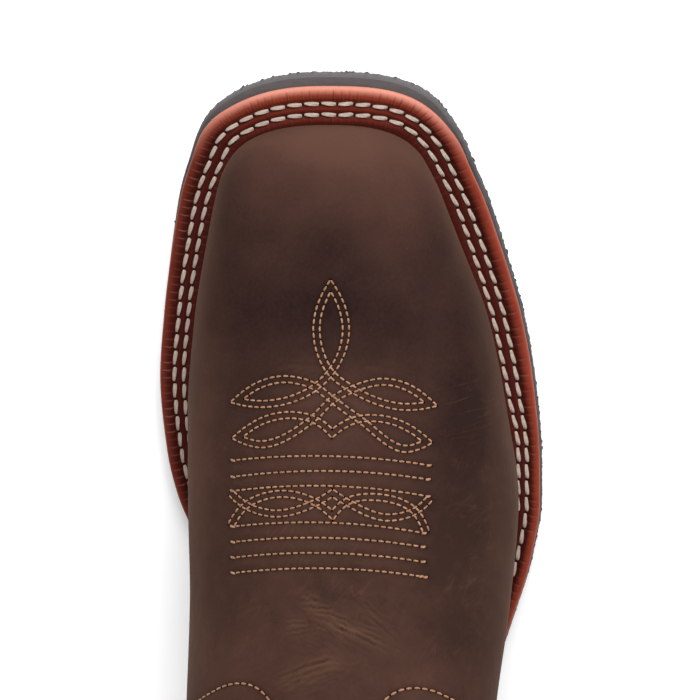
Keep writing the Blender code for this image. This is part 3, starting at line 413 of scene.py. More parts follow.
# Materials: colours, and how noise is read
COLOURS = {
    "leather_dark": (0.0165, 0.0085, 0.0080), "leather_light": (0.074, 0.0350, 0.0255),
    "leather_bare": (0.115, 0.060, 0.037), "leather_deep": (0.009, 0.0045, 0.004),
    "leather_sheen": (0.8, 0.47, 0.30),
    "welt": (0.225, 0.034, 0.017), "welt_light": (0.275, 0.047, 0.025),
    "welt_channel": (0.052, 0.0080, 0.0055), "welt_streak": (0.085, 0.018, 0.012),
    "welt_rim": (0.56, 0.23, 0.17), "welt_notch": (0.42, 0.17, 0.13),
    "cream_thread": (0.44, 0.352, 0.294), "cream_thread_deep": (0.325, 0.257, 0.209),
    "tan_thread": (0.375, 0.198, 0.112), "tan_thread_deep": (0.235, 0.102, 0.044),
    "rubber": (0.040, 0.037, 0.039), "rubber_light": (0.062, 0.057, 0.059),
    "rubber_trimmed": (0.085, 0.079, 0.081), "rubber_buffed": (0.115, 0.105, 0.108),
    "rubber_crumb": (0.014, 0.013, 0.015),
    "layer_dark": (0.022, 0.014, 0.011), "layer_light": (0.060, 0.034, 0.022),
    "layer_fibre": (0.075, 0.045, 0.030), "layer_groove": (0.006, 0.004, 0.003),
    "lining": (0.28, 0.165, 0.088), "lining_light": (0.38, 0.24, 0.135), "lining_fleck": (0.22, 0.125, 0.066),
    # painted shade inside needle holes
    "hole": (0.005, 0.0028, 0.0022), "hole_edge": (0.014, 0.0052, 0.0032),
    "white": (1.0, 1.0, 1.0), "floor": (0.93, 0.93, 0.93), "floor_light": (0.95, 0.95, 0.95),
}
MIX_SOCKETS = (0, 6, 7)  # the mix node's numbers for the share and the two colours
MIX_RESULT = 2
NOISE_SPREAD = (0.3, 0.7)  # where most of the noise lies
PATCH_SPREAD = (0.35, 0.7)
NOISE_MIDDLE = 0.5
LINE_DETAIL = 0.6
RUBBED_BARE = 0.18  # how far rubbed leather goes towards its bare colour
VEIN_COLUMNS = ("size", "stretch", "turn", "zone")  # scratches and light veins of the leather
VEINS = ((2.2, (0.1, 1.0, 0.1), 0.05, "scratched"), (2.6, (0.15, 1.0, 0.3), 0.9, "rubbed"))

# Steps of meshes, lines and searches
STEPS = {
    "line": 24, "ring_end": 81, "ring_side": 241, "frame_ring": 600, "clear_ring": 400, "welt_ring": 1200,
    "outsole_ring": 1800, "arch": 240, "collar_search": 241, "foot_search": 151, "reach_search": 301,
    "row_search": 801, "seam_search": 841, "tack": 8, "crease": 16, "fine_wrinkle": 10, "edge": 900,
    "upper_rows": 231, "upper_round": 161, "counter_rows": 91, "counter_round": 61, "binding_round": 241,
    "binding_bend": 13, "strap_across": 15, "strap_leg": 26, "strap_loop": 25, "seam_rows": 120,
    "seam_skip": 7, "piping": 13, "tread": 24, "feather_side": 121, "feather_toe": 81, "notch": 6,
    "heel": 61,
}
SHARP_ANGLE = math.radians(50)


# Curves through short tables


def eased(start, end, leaving, arriving, share, reach):
    """Between two values, at a share of the way, with the slopes at both of them."""
    rise = start * (1 + 2 * share) * (1 - share) ** 2 + end * share ** 2 * (3 - 2 * share)
    bend = leaving * share * (1 - share) ** 2 - arriving * share ** 2 * (1 - share)
    return rise + reach * bend


def smooth_curve(places, values):
    """A curve through the values that never overshoots between two of them."""
    x = np.asarray(places, float)
    y = np.asarray(values, float)
    step = np.diff(x)
    slope = np.diff(y) / step
    tangent = np.zeros_like(y)
    tangent[0], tangent[-1] = slope[0], slope[-1]
    for i in range(1, len(x) - 1):
        if slope[i - 1] * slope[i] > 0:
            before = 2 * step[i] + step[i - 1]
            after = step[i] + 2 * step[i - 1]
            tangent[i] = (before + after) / (before / slope[i - 1] + after / slope[i])

    def curve(place):
        p = np.clip(np.asarray(place, float), x[0], x[-1])
        i = np.clip(np.searchsorted(x, p, side="right") - 1, 0, len(step) - 1)
        return eased(y[i], y[i + 1], tangent[i], tangent[i + 1], (p - x[i]) / step[i], step[i])

    return curve


def curve_of(table, column):
    """The curve of one column of a table over the table's first column."""
    return smooth_curve(next(iter(table.values())), table[column])


outline_inner = curve_of(OUTLINE, "inner")
outline_outer = curve_of(OUTLINE, "outer")
sole_bottom = curve_of(SOLE_PROFILE, "bottom")
sole_thickness = curve_of(SOLE_PROFILE, "thickness")
welt_inset = curve_of(WELT_INSET, "inset")
welt_share = {side: curve_of(WELT_SHARE, side) for side in SIDES}
vamp_edge_row = curve_of(VAMP_EDGE, "row")
counter_top = curve_of(COUNTER_TOP, "height")
side_seam_place = curve_of(SIDE_SEAM, "from_toe")
strap_off = curve_of(STRAP_LEG, "off")


def named(columns, table):
    """The rows of a table, with each value under its column's name."""
    return [dict(zip(columns, row)) for row in table]


section_rows = named(SECTION_COLUMNS, SECTIONS)
section = {
    name: smooth_curve(range(len(SECTIONS)), [row[name] for row in section_rows]) for name in SECTION_COLUMNS
}


def sole_top(from_toe):
    return sole_bottom(from_toe) + sole_thickness(from_toe)


def welt_bed(from_toe):
    """Height of the welt beside its lip, where the upper stands."""
    return sole_top(from_toe) + GAP + WELT_THICKNESS


def end_rounding(from_toe):
    """The share of the half-width that the rounded toe and heel leave at a station."""
    toe = np.clip(1 - from_toe / TOE_ROUND_LENGTH, 0, 1)
    heel = np.clip(1 - (SOLE_LENGTH - from_toe) / HEEL_ROUND_LENGTH, 0, 1)
    toe_share = (1 - toe ** TOE_SQUARENESS) ** (1 / TOE_SQUARENESS)
    heel_share = (1 - heel ** HEEL_SQUARENESS) ** (1 / HEEL_SQUARENESS)
    return toe_share * heel_share


# Rings round the sole, as (x, from_toe)


def unit(vectors):
    return vectors / np.linalg.norm(vectors, axis=-1)[..., None].clip(TINY)


def lengths(points):
    """Distance along a line of points, from its start."""
    steps = np.linalg.norm(np.diff(points, axis=0), axis=1)
    return np.concatenate([[0], np.cumsum(steps)])


def read_along(at, values, places):
    """Values given at distances along a line, read at other distances."""
    return np.column_stack([np.interp(places, at, column) for column in values.T])


def spread(points, places):
    """Points of a line at given distances from its start."""
    return read_along(lengths(points), points, places)


def sole_ring(count):
    """The outsole's outline in even steps: down the inner side from the toe, up the outer side."""
    turn = np.linspace(0, math.pi / 2, STEPS["ring_end"])
    toe = TOE_ROUND_LENGTH * (1 - np.cos(turn))
    heel = SOLE_LENGTH - HEEL_ROUND_LENGTH * (1 - np.cos(turn[::-1]))
    side = np.linspace(toe[-1], heel[0], STEPS["ring_side"])
    stations = np.concatenate([toe, side[1:-1], heel])
    middle = (outline_outer(stations) - outline_inner(stations)) / 2
    half = (outline_outer(stations) + outline_inner(stations)) / 2 * end_rounding(stations)
    inner = np.column_stack([middle - half, stations])
    outer = np.column_stack([middle + half, stations])
    ring = np.vstack([inner, outer[-2::-1]])
    return spread(ring, np.linspace(0, lengths(ring)[-1], count + 1)[:-1])


def inward(ring):
    """Unit directions in the plan, square to a closed ring and towards its inside."""
    along = unit(np.roll(ring, -1, axis=0) - np.roll(ring, 1, axis=0))
    return np.column_stack([along[:, 1], -along[:, 0]])


def frame_shift():
    """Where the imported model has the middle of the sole's length, in metres."""
    low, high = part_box("outsole")
    ring = sole_ring(STEPS["frame_ring"])
    middle = (low.x + high.x - (ring[:, 0].min() + ring[:, 0].max()) * MM) / 2
    return np.array([middle, high.y - SOLE_LENGTH / 2 * MM, 0.0])


SHIFT = frame_shift()


def placed(x, from_toe, height):
    """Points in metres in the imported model's frame."""
    y = SOLE_LENGTH / 2 - np.asarray(from_toe, float)
    return np.stack(np.broadcast_arrays(x, y, height), axis=-1) * MM + SHIFT


def from_toe_of(points):
    return SOLE_LENGTH / 2 - (points[..., 1] - SHIFT[1]) / MM


def plan_of(points):
    """Points in metres as (x, from_toe) in millimetres."""
    return np.stack([(points[..., 0] - SHIFT[0]) / MM, from_toe_of(points)], axis=-1)


# The upper's surface


def half_section(base, wide, ridge, height, wide_at, squareness, count):
    """Half an arch: (distance out from the axis, rise), from its foot to its crown."""
    level = wide_at * height
    foot_round = 2 - base / wide
    turn = np.linspace(0, 1, STEPS["arch"])
    below = 1 - np.cos(turn * math.pi / 2)
    foot_out = base + (wide - base) * (1 - (1 - below) ** 2) ** (1 / foot_round)
    angle = turn[1:] * math.pi / 2
    crown_out = (wide + ridge) * np.cos(angle).clip(0) ** (2 / squareness) - ridge
    crown_rise = level + (height - level) * np.sin(angle) ** (2 / squareness)
    out = np.concatenate([foot_out, crown_out])
    rise = np.concatenate([level * below, crown_rise])
    length = np.concatenate([[0], np.cumsum(np.hypot(np.diff(out), np.diff(rise)))])
    even = np.linspace(0, length[-1], count + 1)
    return np.interp(even, length, out), np.interp(even, length, rise)


def row_lengths():
    """Mean distance from one section to the next along the base and the crown."""
    base = [(at["base_from_toe"], welt_bed(at["base_from_toe"]) + at["base_lift"]) for at in section_rows]
    top = [(at["top_from_toe"], at["top_height"]) for at in section_rows]
    steps = np.linalg.norm(np.diff(base, axis=0), axis=1) + np.linalg.norm(np.diff(top, axis=0), axis=1)
    return np.concatenate([[0], np.cumsum(steps / 2)])


ROW_LENGTHS = row_lengths()


def row_distance(row):
    return np.interp(row, np.arange(len(SECTIONS)), ROW_LENGTHS)


def ear_share(row):
    """How much of the collar's rise at the sides a section takes: none low down, all at the top."""
    below = np.clip((row_distance(LAST_ROW) - row_distance(row)) / COLLAR_EAR_LENGTH, 0, 1)
    return (1 - below) ** 2 * (1 + 2 * below)


def section_points(row, count):
    """An arch as (x, from_toe, height), from the inner foot over the crown to the outer foot."""
    at = {name: float(curve(row)) for name, curve in section.items()}
    base = np.array([at["base_from_toe"], welt_bed(at["base_from_toe"]) + GAP + at["base_lift"]])
    top = np.array([at["top_from_toe"], at["top_height"]])
    height = np.linalg.norm(top - base)
    way = (top - base) / height
    shape = (height, at["wide_at"], at["squareness"], count // 2)
    inner = half_section(max(at["inner_base"], 0), at["inner_wide"], at["ridge"], *shape)
    outer = half_section(max(at["outer_base"], 0), at["outer_wide"], -at["ridge"], *shape)
    x = np.concatenate([-inner[0], outer[0][-2::-1]])
    rise = np.concatenate([inner[1], outer[1][-2::-1]])
    ear = np.sin(np.linspace(0, 2 * math.pi, count + 1)) ** 2
    lift = COLLAR_EAR_RISE * ear * ear_share(row)
    return np.column_stack([x, base[0] + rise * way[0], base[1] + rise * way[1] + lift])


FINE_ROUND = 480
FINE_ROWS = 24  # fine rows from one section to the next
FINE = np.array([section_points(i / FINE_ROWS, FINE_ROUND) for i in range(LAST_ROW * FINE_ROWS + 1)])


def fine_normals():
    """Outward directions on the fine grid of the upper's surface."""
    along = np.gradient(FINE, axis=0)
    across = np.gradient(FINE, axis=1)
    closed = HEEL_CORNER * FINE_ROWS
    seam = (FINE[closed:, 1] - FINE[closed:, -2]) / 2
    across[closed:, 0] = seam
    across[closed:, -1] = seam
    mirror = np.array([1, -1, 1])
    out = np.cross(along * mirror, across * mirror)
    return unit(out)


FINE_OUT = fine_normals()


def grid_value(grid, row, around):
    """A value read from the fine grid at a row of the table and a place round the section, 0 to 1."""
    i = np.clip(np.asarray(row, float) * FINE_ROWS, 0, len(grid) - 1)
    j = np.clip(np.asarray(around, float) * FINE_ROUND, 0, FINE_ROUND)
    i0 = np.minimum(i.astype(int), len(grid) - 2)
    j0 = np.minimum(j.astype(int), FINE_ROUND - 1)
    u = (i - i0)[..., None]
    v = (j - j0)[..., None]
    near = grid[i0, j0] * (1 - v) + grid[i0, j0 + 1] * v
    far = grid[i0 + 1, j0] * (1 - v) + grid[i0 + 1, j0 + 1] * v
    return near * (1 - u) + far * u


def on_upper(row, around, out=0.0):
    """Points in metres on the upper's surface, or this many millimetres out from it."""
    row, around, out = np.broadcast_arrays(row, around, out)
    place = grid_value(FINE, row, around)
    way = unit(grid_value(FINE_OUT, row, around))
    return placed(place[..., 0], place[..., 1], place[..., 2]) + way * out[..., None] * MM


def out_of_upper(row, around):
    """Outward directions of the upper's surface."""
    return unit(on_upper(row, around, 1.0) - on_upper(row, around))


def row_below_collar(around, drop):
    """The rows that lie this far below the collar, along the surface, at places round it."""
    rows = np.linspace(SHAFT_ROW, LAST_ROW, STEPS["collar_search"])
    lines = on_upper(rows[:, None], np.asarray(around)[None, :]) / MM
    steps = np.linalg.norm(np.diff(lines, axis=0), axis=2)
    below = np.vstack([np.cumsum(steps[::-1], axis=0)[::-1], np.zeros(len(around))])
    return np.array([np.interp(-drop, -below[:, i], rows) for i in range(len(around))])


OUTLINE_RING = sole_ring(STEPS["clear_ring"])


def lowest_round(row):
    """The least way round, on either side, at which an overlay's edge clears the welt."""
    places = np.linspace(0, FOOT_ROUND, STEPS["foot_search"])
    clear = np.ones(len(places), bool)
    for around in (places, 1 - places):
        for out in (GAP, GAP + OVERLAY_THICKNESS):
            corner = on_upper(row, around, out)
            from_toe = from_toe_of(corner)
            apart = np.linalg.norm(plan_of(corner)[:, None] - OUTLINE_RING, axis=2).min(axis=1)
            over_lip = apart < welt_inset(from_toe) + WELT_LIP_WIDTH + 2 * GAP
            floor = welt_bed(from_toe) + np.where(over_lip, WELT_LIP_RISE, 0)
            clear &= corner[:, 2] / MM > floor + EDGE_CLEARANCE
    return places[np.argmax(clear)]


# Meshes and pieces


def sheet_faces(index, closed_round=False):
    """Four-sided faces between neighbours in a grid of vertex numbers, in rows."""
    if closed_round:
        index = np.column_stack([index, index[:, :1]])
    corners = (index[:-1, :-1], index[1:, :-1], index[1:, 1:], index[:-1, 1:])
    return np.stack(corners, axis=-1).reshape(-1, len(corners))


def make_mesh(name, points, faces, **painted):
    """Mesh of points and faces, without the points that no face uses.

    The painted values lie on its points, and the materials read them by their names. Values for the
    first half of the points are used again for the second half.
    """
    used, number = np.unique(np.concatenate([np.ravel(f) for f in faces]), return_inverse=True)
    mesh = bpy.data.meshes.new(name)
    polygons = []
    start = 0
    for group in faces:
        size = np.size(group)
        polygons += number[start:start + size].reshape(np.shape(group)).tolist()
        start += size
    mesh.from_pydata(points[used].tolist(), [], polygons)
    mesh.update()
    mesh.shade_smooth()
    mesh.set_sharp_from_angle(angle=SHARP_ANGLE)
    for label, values in painted.items():
        layer = mesh.attributes.new(label, "FLOAT", "POINT")
        layer.data.foreach_set("value", np.resize(values, len(points))[used].astype(np.float32))
    return mesh


def add_piece(mesh, look, slot, *nodes):
    """A piece with its mesh's name that rides on the boot, in a look, in place of the solids named."""
    mesh.materials.append(look)
    piece = bpy.data.objects.new(mesh.name, mesh)
    bpy.context.scene.collection.objects.link(piece)
    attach(piece, "root")
    if nodes:
        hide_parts(*nodes)


def shell(name, outer, inner, joined_from=None, coarse=1, **painted):
    """Closed wall between two grids of points, of which the inner takes only each coarse-th point.

    From the row joined_from on, its two sides are one seam.
    """
    rows, columns = outer.shape[:2]
    index = np.arange(rows * columns).reshape(rows, columns)
    if joined_from is not None:
        index[joined_from:, -1] = index[joined_from:, 0]
    else:
        joined_from = rows - 1
    back = index + rows * columns
    rims = [np.concatenate([index[joined_from::-1, 0], index[0, 1:], index[1:joined_from + 1, -1]]),
            index[-1, ::-1]]
    faces = [sheet_faces(index), sheet_faces(back[::coarse, ::coarse])[:, ::-1]]
    for rim in rims:
        fine = np.array([rim[i:i + coarse + 1] for i in range(0, len(rim) - 1, coarse)])
        below = rim[::coarse] + rows * columns
        faces.append(np.column_stack([below[1:], below[:-1], fine]))
    points = np.concatenate([outer.reshape(-1, 3), inner.reshape(-1, 3)])
    return make_mesh(name, points, faces, **painted)


def tube(name, rings, caps=True, **painted):
    """Closed body through rings of points, in rows, with ladder caps or joined end to end."""
    count, around = rings.shape[:2]
    index = np.arange(count * around).reshape(count, around)
    faces = [sheet_faces(index if caps else np.vstack([index, index[:1]]), closed_round=True)]
    if caps:
        half = around // 2
        for ring, turn in ((index[0], 1), (index[-1], -1)):
            left = ring[:half + 1]
            right = np.roll(ring[::-1], 1)[:half + 1]
            middle = np.column_stack([left, right])[1:-1 if around % 2 == 0 else None]
            faces.append(sheet_faces(middle)[:, ::turn])
            faces.append(np.array([(ring[0], ring[1], ring[-1])])[:, ::turn])
            if around % 2 == 0:
                faces.append(np.array([(ring[half - 1], ring[half], ring[half + 1])])[:, ::turn])
    return make_mesh(name, rings.reshape(-1, 3), faces, **painted)


def surface_tree(points):
    """Search tree of a grid of points, for casting and for finding the nearest place."""
    index = np.arange(points.shape[0] * points.shape[1]).reshape(points.shape[:2])
    return BVHTree.FromPolygons(points.reshape(-1, 3).tolist(), sheet_faces(index).tolist())


def nearest_distance(points, others):
    """Distance in millimetres from each point to the nearest of the others."""
    tree = KDTree(len(others))
    for i, other in enumerate(others):
        tree.insert(other, i)
    tree.balance()
    return np.array([tree.find(p)[2] for p in points.reshape(-1, 3)]).reshape(points.shape[:-1]) / MM


def soft_edge(points):
    """The share of its thickness that a sheet keeps, less along its cut edges."""
    border = np.concatenate([points[0], points[-1], points[:, 0], points[:, -1]])
    return 1 - EDGE_LOSS * np.exp(-(nearest_distance(points, border) / EDGE_SOFTNESS) ** 2)


# Materials


class Look:
    """A material built from shader nodes, with its constant values on the shader's own sockets."""

    def __init__(self, name, **constants):
        self.material = bpy.data.materials.new(name)
        self.material.use_nodes = True
        self.tree = self.material.node_tree
        self.shader = self.tree.nodes["Principled BSDF"]
        for socket, value in constants.items():
            self.shader.inputs[socket.replace("_", " ")].default_value = value
        self.place = self.add("TexCoord", {}, "Object")

    def add(self, kind, inputs, output=0, **settings):
        node = self.tree.nodes.new("ShaderNode" + kind)
        for name, value in settings.items():
            setattr(node, name, value)
        for name, value in inputs.items():
            self.feed(node.inputs[name], value)
        return node.outputs[output]

    def feed(self, socket, value):
        if isinstance(value, bpy.types.NodeSocket):
            self.tree.links.new(value, socket)
        else:
            socket.default_value = value

    def noise(self, size, detail=3.0, stretch=(1, 1, 1), turn=(0, 0, 0)):
        """Noise whose marks are about this many millimetres across, stretched along an axis if asked."""
        scale = tuple(1 / s for s in stretch)
        place = self.add("Mapping", {"Vector": self.place, "Scale": scale, "Rotation": turn},
                         vector_type="TEXTURE")
        return self.add("TexNoise", {"Vector": place, "Scale": 1 / (size * MM), "Detail": detail})

    def painted(self, name):
        return self.add("Attribute", {}, "Fac", attribute_name=name)

    def band(self, value, low, high, to_low=0.0, to_high=1.0):
        return self.add("MapRange", {"Value": value, "From Min": low, "From Max": high,
                                     "To Min": to_low, "To Max": to_high})

    def times(self, value, other, operation="MULTIPLY"):
        return self.add("Math", {0: value, 1: other}, operation=operation)

    def plus(self, value, other):
        return self.times(value, other, "ADD")

    def uneven(self, size, detail, low, high):
        """Noise between two values."""
        return self.band(self.noise(size, detail), *NOISE_SPREAD, low, high)

    def mottled(self, first, second, size, detail):
        """Two colours of the table in soft patches."""
        return self.mix(self.band(self.noise(size, detail), *PATCH_SPREAD), colour(first), colour(second))

    def lines(self, size, stretch, turn):
        """How far noise is from its middle value: zero along fine wandering lines."""
        noise = self.noise(size, LINE_DETAIL, stretch, (0, 0, turn))
        return self.add("Math", {0: self.plus(noise, -NOISE_MIDDLE)}, operation="ABSOLUTE")

    def mix(self, share, first, second):
        inputs = dict(zip(MIX_SOCKETS, (share, first, second)))
        return self.add("Mix", inputs, MIX_RESULT, data_type="RGBA")

    def bump(self, height, depth, normal=None, strength=1.0):
        """Relief this many millimetres deep."""
        inputs = {"Height": height, "Distance": depth * MM, "Strength": strength}
        if normal is not None:
            inputs["Normal"] = normal
        return self.add("Bump", inputs, "Normal")

    def finish(self, **inputs):
        for socket, value in inputs.items():
            self.feed(self.shader.inputs[socket.replace("_", " ")], value)
        return self.material


def colour(name):
    return (*COLOURS[name], 1.0)


def leather_look():
    """Oiled brown leather: soft mottling, pulled-up light lines, fine scratches, low sheen, with painted
    highlights and painted shade.
    """
    look = Look("oiled_brown_leather", Specular_IOR_Level=0.004, Sheen_Weight=0.07, Sheen_Roughness=0.5,
                Sheen_Tint=colour("leather_sheen"))
    # the bare colour serves rubbed wear, scratches and specks, and the painted highlights on ridges; the
    # shade colour is painted shade
    bare, deep = colour("leather_bare"), colour("leather_deep")
    rubbed = look.painted("rubbed")
    patch = look.plus(look.uneven(size=40, detail=3, low=0.10, high=0.40),
                      look.uneven(size=13, detail=2, low=-0.08, high=0.08))
    mottle = look.band(look.noise(size=4.5, detail=5), *PATCH_SPREAD, to_low=-0.07, to_high=0.14)
    fine = look.uneven(size=1.0, detail=2, low=-0.05, high=0.05)
    # the painted tone holds the painted highlights over the toe's top and along both sides
    tone = look.plus(look.plus(look.plus(patch, look.times(mottle, rubbed)), fine), look.painted("tone"))
    base = look.mix(tone, colour("leather_dark"), colour("leather_light"))
    base = look.mix(look.times(rubbed, RUBBED_BARE), base, bare)
    for at in named(VEIN_COLUMNS, VEINS):
        veins = look.lines(at["size"], at["stretch"], at["turn"])
        veins = look.band(veins, low=0.0, high=0.025, to_low=0.22, to_high=0.0)
        veins = look.times(veins, look.band(look.noise(size=9, detail=2), low=0.45, high=0.62))
        base = look.mix(look.times(veins, look.painted(at["zone"])), base, bare)
    speck = look.band(look.noise(size=0.7, detail=1), low=0.80, high=0.83, to_low=0.0, to_high=0.5)
    base = look.mix(speck, base, bare)
    relief = None
    for way, turn in WRINKLE_TURN.items():
        zone = look.painted("wrinkled_" + way)
        folds = look.lines(size=1.7, stretch=(0.25, 1.0, 1.0), turn=turn)
        # fold ridges painted pale, partly wear and partly painted highlight; fold troughs take painted shade
        ridge = look.band(folds, low=0.02, high=0.12, to_low=0.0, to_high=0.07)
        trough = look.band(folds, low=0.0, high=0.03, to_low=0.16, to_high=0.0)
        base = look.mix(look.times(ridge, zone), base, bare)
        base = look.mix(look.times(trough, zone), base, deep)
        relief = look.bump(look.times(folds, zone), depth=0.6, normal=relief)
    # crease ridges painted pale: partly wear, partly painted highlight
    base = look.mix(look.painted("wear"), base, bare)
    # painted shade around stitches and in crease troughs
    base = look.mix(look.painted("recess"), base, deep)
    relief = look.bump(look.noise(size=3.5, detail=3), depth=0.22, normal=relief, strength=0.5)
    relief = look.bump(look.noise(size=0.5, detail=2), depth=0.06, normal=relief, strength=0.6)
    rough = look.uneven(size=14, detail=3, low=0.46, high=0.58)
    return look.finish(Base_Color=base, Roughness=rough, Normal=relief)


def welt_look():
    """Brick-red welt: painted highlight on its rim, painted shade in its channel and on its side away from
    the light, pale lines where the wheel has marked it.
    """
    look = Look("brick_red_welt", Specular_IOR_Level=0.03)
    base = look.mottled("welt", "welt_light", size=6, detail=4)
    # painted shade
    base = look.mix(look.painted("shade"), base, colour("welt_channel"))
    streak = look.band(look.noise(size=1.0, detail=3), low=0.55, high=0.75, to_low=0.0, to_high=0.3)
    base = look.mix(streak, base, colour("welt_streak"))
    base = look.mix(look.painted("bright"), base, colour("welt_rim"))
    base = look.mix(look.painted("notch"), base, colour("welt_notch"))
    relief = look.bump(look.noise(size=0.7, detail=3), depth=0.08)
    rough = look.uneven(size=3, detail=3, low=0.36, high=0.52)
    return look.finish(Base_Color=base, Roughness=rough, Normal=relief)


def thread_look(name):
    """Waxed thread with soft fibres."""
    look = Look(name, Specular_IOR_Level=0.3, Sheen_Weight=0.15)
    base = look.mottled(name, name + "_deep", size=1.2, detail=3)
    relief = look.bump(look.noise(size=0.25, detail=2), depth=0.06)
    rough = look.uneven(size=2, detail=2, low=0.6, high=0.78)
    return look.finish(Base_Color=base, Roughness=rough, Normal=relief)


def rubber_look():
    """Charcoal rubber, grey on its trimmed side and lighter towards the toe."""
    look = Look("charcoal_rubber", Specular_IOR_Level=0.1)
    base = look.mottled("rubber", "rubber_light", size=4, detail=4)
    trimmed = look.noise(size=0.9, detail=3, stretch=(0.12, 0.12, 1.0))
    trimmed = look.band(trimmed, low=0.5, high=0.75, to_low=0.0, to_high=0.6)
    base = look.mix(trimmed, base, colour("rubber_trimmed"))
    base = look.mix(look.painted("buffed"), base, colour("rubber_buffed"))
    base = look.mix(look.painted("crumb"), base, colour("rubber_crumb"))
    relief = look.bump(look.noise(size=0.8, detail=4, stretch=(0.4, 0.4, 1.0)), depth=0.25)
    rough = look.uneven(size=3, detail=3, low=0.58, high=0.76)
    return look.finish(Base_Color=base, Roughness=rough, Normal=relief)


def stack_look():
    """Stained stacked heel: each layer a little lighter or darker, with fibres along it."""
    look = Look("stained_stack", Specular_IOR_Level=0.12, Coat_Weight=0.02, Coat_Roughness=0.4)
    base = look.mix(look.painted("layer"), colour("layer_dark"), colour("layer_light"))
    fibre = look.noise(size=0.9, detail=4, stretch=(0.15, 0.15, 1.0))
    fibre = look.band(fibre, low=0.45, high=0.75, to_low=0.0, to_high=0.5)
    base = look.mix(fibre, base, colour("layer_fibre"))
    # the grooves between the layers painted near black
    base = look.mix(look.painted("recess"), base, colour("layer_groove"))
    relief = look.bump(look.noise(size=0.7, detail=3, stretch=(0.2, 0.2, 1.0)), depth=0.1)
    rough = look.uneven(size=5, detail=2, low=0.42, high=0.58)
    return look.finish(Base_Color=base, Roughness=rough, Normal=relief)


def lining_look():
    """Natural tan lining leather."""
    look = Look("tan_lining", Specular_IOR_Level=0.35)
    base = look.mottled("lining", "lining_light", size=20, detail=4)
    fleck = look.band(look.noise(size=1.1, detail=3), low=0.6, high=0.75, to_low=0.0, to_high=0.4)
    base = look.mix(fleck, base, colour("lining_fleck"))
    relief = look.bump(look.noise(size=0.8, detail=3), depth=0.12)
    rough = look.uneven(size=8, detail=2, low=0.62, high=0.78)
    return look.finish(Base_Color=base, Roughness=rough, Normal=relief)


def hole_look():
    """Painted shade: the dark of a needle hole."""
    look = Look("needle_hole", Specular_IOR_Level=0.1)
    base = look.mix(look.noise(size=2), colour("hole"), colour("hole_edge"))
    return look.finish(Base_Color=base, Roughness=look.uneven(size=3, detail=3, low=0.8, high=0.95))


LEATHER = leather_look()
WELT = welt_look()
CREAM_THREAD = thread_look("cream_thread")
TAN_THREAD = thread_look("tan_thread")
RUBBER = rubber_look()
STACK = stack_look()
LINING = lining_look()
HOLE = hole_look()


# Stitching


def resampled(points, step):
    """A line in even steps of about this many millimetres."""
    total = lengths(points)[-1]
    count = max(2, round(total / (step * MM)) + 1)
    return spread(points, np.linspace(0, total, count))


def snapped(points, tree):
    """A line laid on a surface, with the surface's outward directions."""
    found = [tree.find_nearest(p) for p in points]
    return np.array([f[0] for f in found]), np.array([f[1] for f in found])


def stitch_bodies(row, size):
    """Raised stitches along a row of (points, outward directions), and the holes between them."""
    points, out = row
    at = lengths(points)
    count = max(1, round(at[-1] / (size["pitch"] * MM)))
    pitch = at[-1] / count
    share = np.linspace(0, 1, size["steps"])
    place = (np.arange(count)[:, None] + 0.5 + size["share"] * (share - 0.5)) * pitch
    centre, up = [read_along(at, values, place.ravel()).reshape(count, -1, 3) for values in (points, out)]
    up = unit(up)
    side = unit(np.cross(up, unit(np.gradient(centre, axis=1))))
    taper = np.sin(math.pi * (STITCH_END + (1 - 2 * STITCH_END) * share)) ** size["blunt"]
    lift = size["rise"] * np.sin(math.pi * share) ** STITCH_ARCH - size["thick"] * STITCH_SUNK
    slant = size["slant"] * np.sign(centre[:, :1, 0] - SHIFT[0])
    centre = centre + up * lift[:, None] * MM
    wander = random.normal(0, STITCH_WANDER, (count, 1)) * size["width"] * MM
    lean = slant * pitch * (share - 0.5) + wander
    centre = centre + side * lean[..., None]
    angle = np.linspace(0, 2 * math.pi, size["sides"], endpoint=False)
    bodies = []
    for strand in range(size["strands"]):
        apart = 0.0 if size["strands"] == 1 else STRAND_APART
        twist = math.pi * strand + TWIST * (share[:, None] - 0.5)
        ply = 1 + size["ply"] * np.cos(2 * (angle - TWIST * share[:, None]))
        wide = taper[:, None] * ((1 - apart) * ply * np.cos(angle) + apart * np.cos(twist))
        high = taper[:, None] * ((1 - apart) * ply * np.sin(angle) + apart * np.sin(twist))
        bodies.append(centre[:, :, None] + side[:, :, None] * (size["width"] / 2 * MM * wide)[..., None]
                      + up[:, :, None] * (size["thick"] / 2 * MM * high)[..., None])
    holes, hole_up = [read_along(at, values, np.arange(count + 1) * pitch) for values in (points, out)]
    return np.concatenate(bodies), holes, unit(hole_up)


def add_stitches(name, rows, size=SEAM_STITCH, look=TAN_THREAD, slot="brown_leather"):
    """One piece with all the stitches of some rows, and one with dark cones of painted shade at the holes
    that they pass through.
    """
    made = [stitch_bodies(row, size) for row in rows]
    bodies = np.concatenate([m[0] for m in made])
    count, steps, sides = bodies.shape[:3]
    index = np.arange(count * steps * sides).reshape(count, steps, sides)
    wrapped = np.concatenate([index, index[:, :, :1]], axis=2)
    corners = (wrapped[:, :-1, :-1], wrapped[:, :-1, 1:], wrapped[:, 1:, 1:], wrapped[:, 1:, :-1])
    faces = [np.stack(corners, axis=-1).reshape(-1, len(corners)), index[:, 0, ::-1], index[:, -1]]
    add_piece(make_mesh(name, bodies.reshape(-1, 3), faces), look, slot)
    add_holes(name + "_holes", np.concatenate([m[1] for m in made]), np.concatenate([m[2] for m in made]),
              size["hole"], slot)


